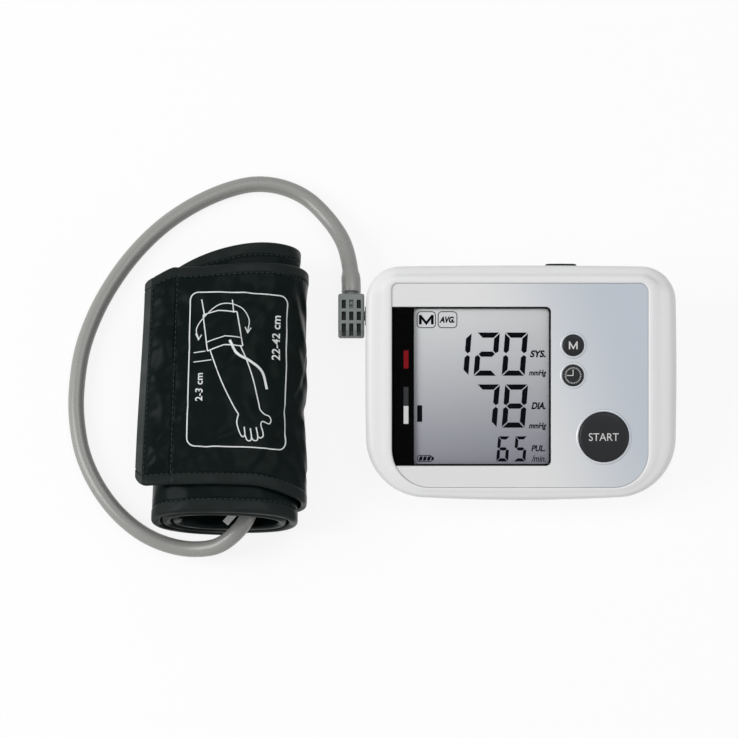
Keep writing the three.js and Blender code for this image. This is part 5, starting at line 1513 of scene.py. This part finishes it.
def makeCuffPrint(c):
    width, height = c["size"]
    frameLine = outline(roundBox((0, width), (0, height), c["corner"]), 0, 8, 24)
    bm = strokeBmesh(frameLine, c["line"], 0.05, closed=True)
    squeeze = width / c["drawn"]
    for points, weight in c["strokes"]:
        points = [(x * squeeze, y) for x, y in points]
        line = smoothLine(points, 5) if len(points) > 3 else points
        fine = []
        for a, b in zip(line, line[1:]):
            a, b = Vector(a), Vector(b)
            fine += [a.lerp(b, k / 4) for k in range(4)] if (b - a).length > 3 else [a]
        addInto(bm, strokeBmesh(fine + [Vector(line[-1])], weight, 0.05))
    for text, (x, y), length, tall in c["words"]:
        word = letterBmesh(text, length, tall, 0.05, weight=0.014)
        where = Matrix.Translation((x * squeeze, y, 0)) @ Matrix.Rotation(pi / 2, 4, "Z")
        bmesh.ops.transform(word, matrix=where, verts=word.verts)
        addInto(bm, word)
    return placed(onFlap(bm, c), "cuffPrint", cuffFrame, "cuffPrint", "cuff_set")


makeCuffPrint(printArea)
print("stitches and print")

# Hook tape under the flap's end, and the folded label in the roll's mouth
tapeSetup = {"width": 104, "thickness": 0.7, "edge": 0.3, "start": 5, "under": -2.15,
             "binding": {"width": 2, "lift": 0, "groove": 0, "end": 0}, "flare": (0, 0), "slant": (0, 1),
             "edges": lambda c, distance, x: (-c["width"] / 2, c["width"] / 2),
             "creases": lambda c, distance, y, height: c["under"]}
labelSetup = {"path": [(0, 0.25), (4, 0.3), (7, 1.2), (9, 3.2), (9.6, 6), (8.6, 8.2), (6.6, 8.6), (4.8, 6.8)],
              "width": 3.6, "thickness": 0.4, "turn": 48, "shift": (3.8, -3.5, 0.2)}


def makeHookTape(c):
    track = Track([Vector((p.x, p.y)) for p in flapLine])
    end = track.length - 0.4
    tape = bandBmesh(track, c, evenly(c["start"], end, 1.5))
    tape = placed(tape, "hookTape", cuffFrame, "hookPile", "cuff_set", ["hook_tape"], 60)
    return end - c["start"], tape


def makeLabel(c):
    low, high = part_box("care_tag")
    line = smoothLine(c["path"], 5)
    bm = bmesh.new()
    uvLayer = bm.loops.layers.uv.new("clothUV")
    half = c["width"] / 2
    edge = [bm.verts.new((line[0].x, y, line[0].y)) for y in evenly(-half, half, 1)]
    row = [bm.edges.new(pair) for pair in zip(edge, edge[1:])]
    for a, b in zip(line, line[1:]):
        made = bmesh.ops.extrude_edge_only(bm, edges=row)["geom"]
        fresh = set(vertsOf(made))
        bmesh.ops.translate(bm, verts=list(fresh), vec=(b.x - a.x, 0, b.y - a.y))
        row = [g for g in made if isinstance(g, bmesh.types.BMEdge) and fresh.issuperset(g.verts)]
    for face in bm.faces:
        for loop in face.loops:
            loop[uvLayer].uv = (loop.vert.co.x + loop.vert.co.z, loop.vert.co.y)
    bmesh.ops.recalc_face_normals(bm, faces=bm.faces)
    bmesh.ops.solidify(bm, geom=bm.faces[:], thickness=c["thickness"])
    corner = Vector((low[0], (low[1] + high[1]) / 2, low[2])) / mm
    where = Matrix.Translation(corner + Vector(c["shift"])) @ Matrix.Rotation(radians(c["turn"]), 4, "Z")
    bmesh.ops.transform(bm, matrix=where, verts=bm.verts)
    return placed(bm, "careLabel", tableFrame, "tagRibbon", "cuff_set", ["care_tag"], 60)


tapeLength, hookTape = makeHookTape(tapeSetup)
makeLabel(labelSetup)

# Finishes of the CAD nodes that show as they are
nodeFinishes = {
    "holderPlastic": ["lcd_holder"],
    "darkPlastic": ["lcd_connector", "start_switch", "memory_switch", "clock_switch", "buzzer", "control_chip",
                    "pressure_sensor", "air_manifold", "pump_head", "power_socket", "hose_port"],
    "solderMask": ["circuit_board"],
    "socketPlastic": ["air_socket"],
    "clearTube": ["socket_tube", "pump_tube"],
    "plugPlastic": ["plug_nozzle"],
    "steel": ["release_valve", "pump_motor"],
}
for number in range(1, cellSetup["count"] + 1):
    nodeFinishes["steel"] += ["spring_contact_%d" % number, "flat_contact_%d" % number]
for finish, nodes in nodeFinishes.items():
    for node in nodes:
        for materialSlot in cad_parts[node].material_slots:
            materialSlot.material = finishes[finish]
print("node finishes")

# Room: white floor and soft lamps, the strongest from the left
roomSetup = {
    "lamps": [("key", (-1.35, -0.1, 1.0), 1.1, 16), ("top", (0.35, 0.4, 1.6), 1.0, 5.5),
              ("fill", (1.5, -0.5, 0.9), 1.2, 4.3)],  # name, place, size, power
    "aim": (0, 0, 0.02), "world": 0.39, "slope": 0.45, "floor": (250, 250, 250), "floorSize": 6, "glow": 0.86,
}


# 1 for rays that show the background: straight, mirrored or through glass
def backgroundRays(tree):
    path = addNode(tree, "LightPath").outputs
    share = addMath(tree, "MAXIMUM", path["Is Camera Ray"], path["Is Glossy Ray"])
    return addMath(tree, "MAXIMUM", share, path["Is Transmission Ray"])


def makeFloor(c):
    bm = bmesh.new()
    bmesh.ops.create_grid(bm, x_segments=2, y_segments=2, size=c["floorSize"])
    mesh = bpy.data.meshes.new("floor")
    bm.to_mesh(mesh)
    bm.free()
    material, tree, shader = newMaterial("floorPaper")
    feed(tree, shader, {"Base Color": srgb(*c["floor"]), "Roughness": 0.9, "Specular IOR Level": 0.1})
    share = addMath(tree, "MULTIPLY", backgroundRays(tree), c["glow"])
    layShader(tree, share, shader, addNode(tree, "Emission"))
    mesh.materials.append(material)
    floor = addObject("floor", mesh)


def makeLamps(c):
    for name, place, size, power in c["lamps"]:
        light = bpy.data.lights.new(name, "AREA")
        light.shape = "DISK"
        light.size = size
        light.energy = power
        lamp = addObject(name, light)
        lamp.location = place
        lamp.rotation_euler = (Vector(c["aim"]) - Vector(place)).to_track_quat("-Z", "Y").to_euler()


# Plain light all round, stronger from the left than from the right
def makeWorld(c):
    world = bpy.data.worlds.new("studio")
    world.use_nodes = True
    bpy.context.scene.world = world
    tree = world.node_tree
    split = addNode(tree, "SeparateXYZ", {0: addNode(tree, "TexCoord").outputs["Generated"]})
    slope = addMath(tree, "MULTIPLY_ADD", split.outputs["X"], -c["slope"] * c["world"], c["world"])
    strength = mapRange(tree, backgroundRays(tree), slope, 1)
    feed(tree, tree.nodes["Background"], {"Color": (1, 1, 1, 1), "Strength": strength})


makeFloor(roomSetup)
makeLamps(roomSetup)
makeWorld(roomSetup)
bpy.context.scene.view_settings.view_transform = "Standard"
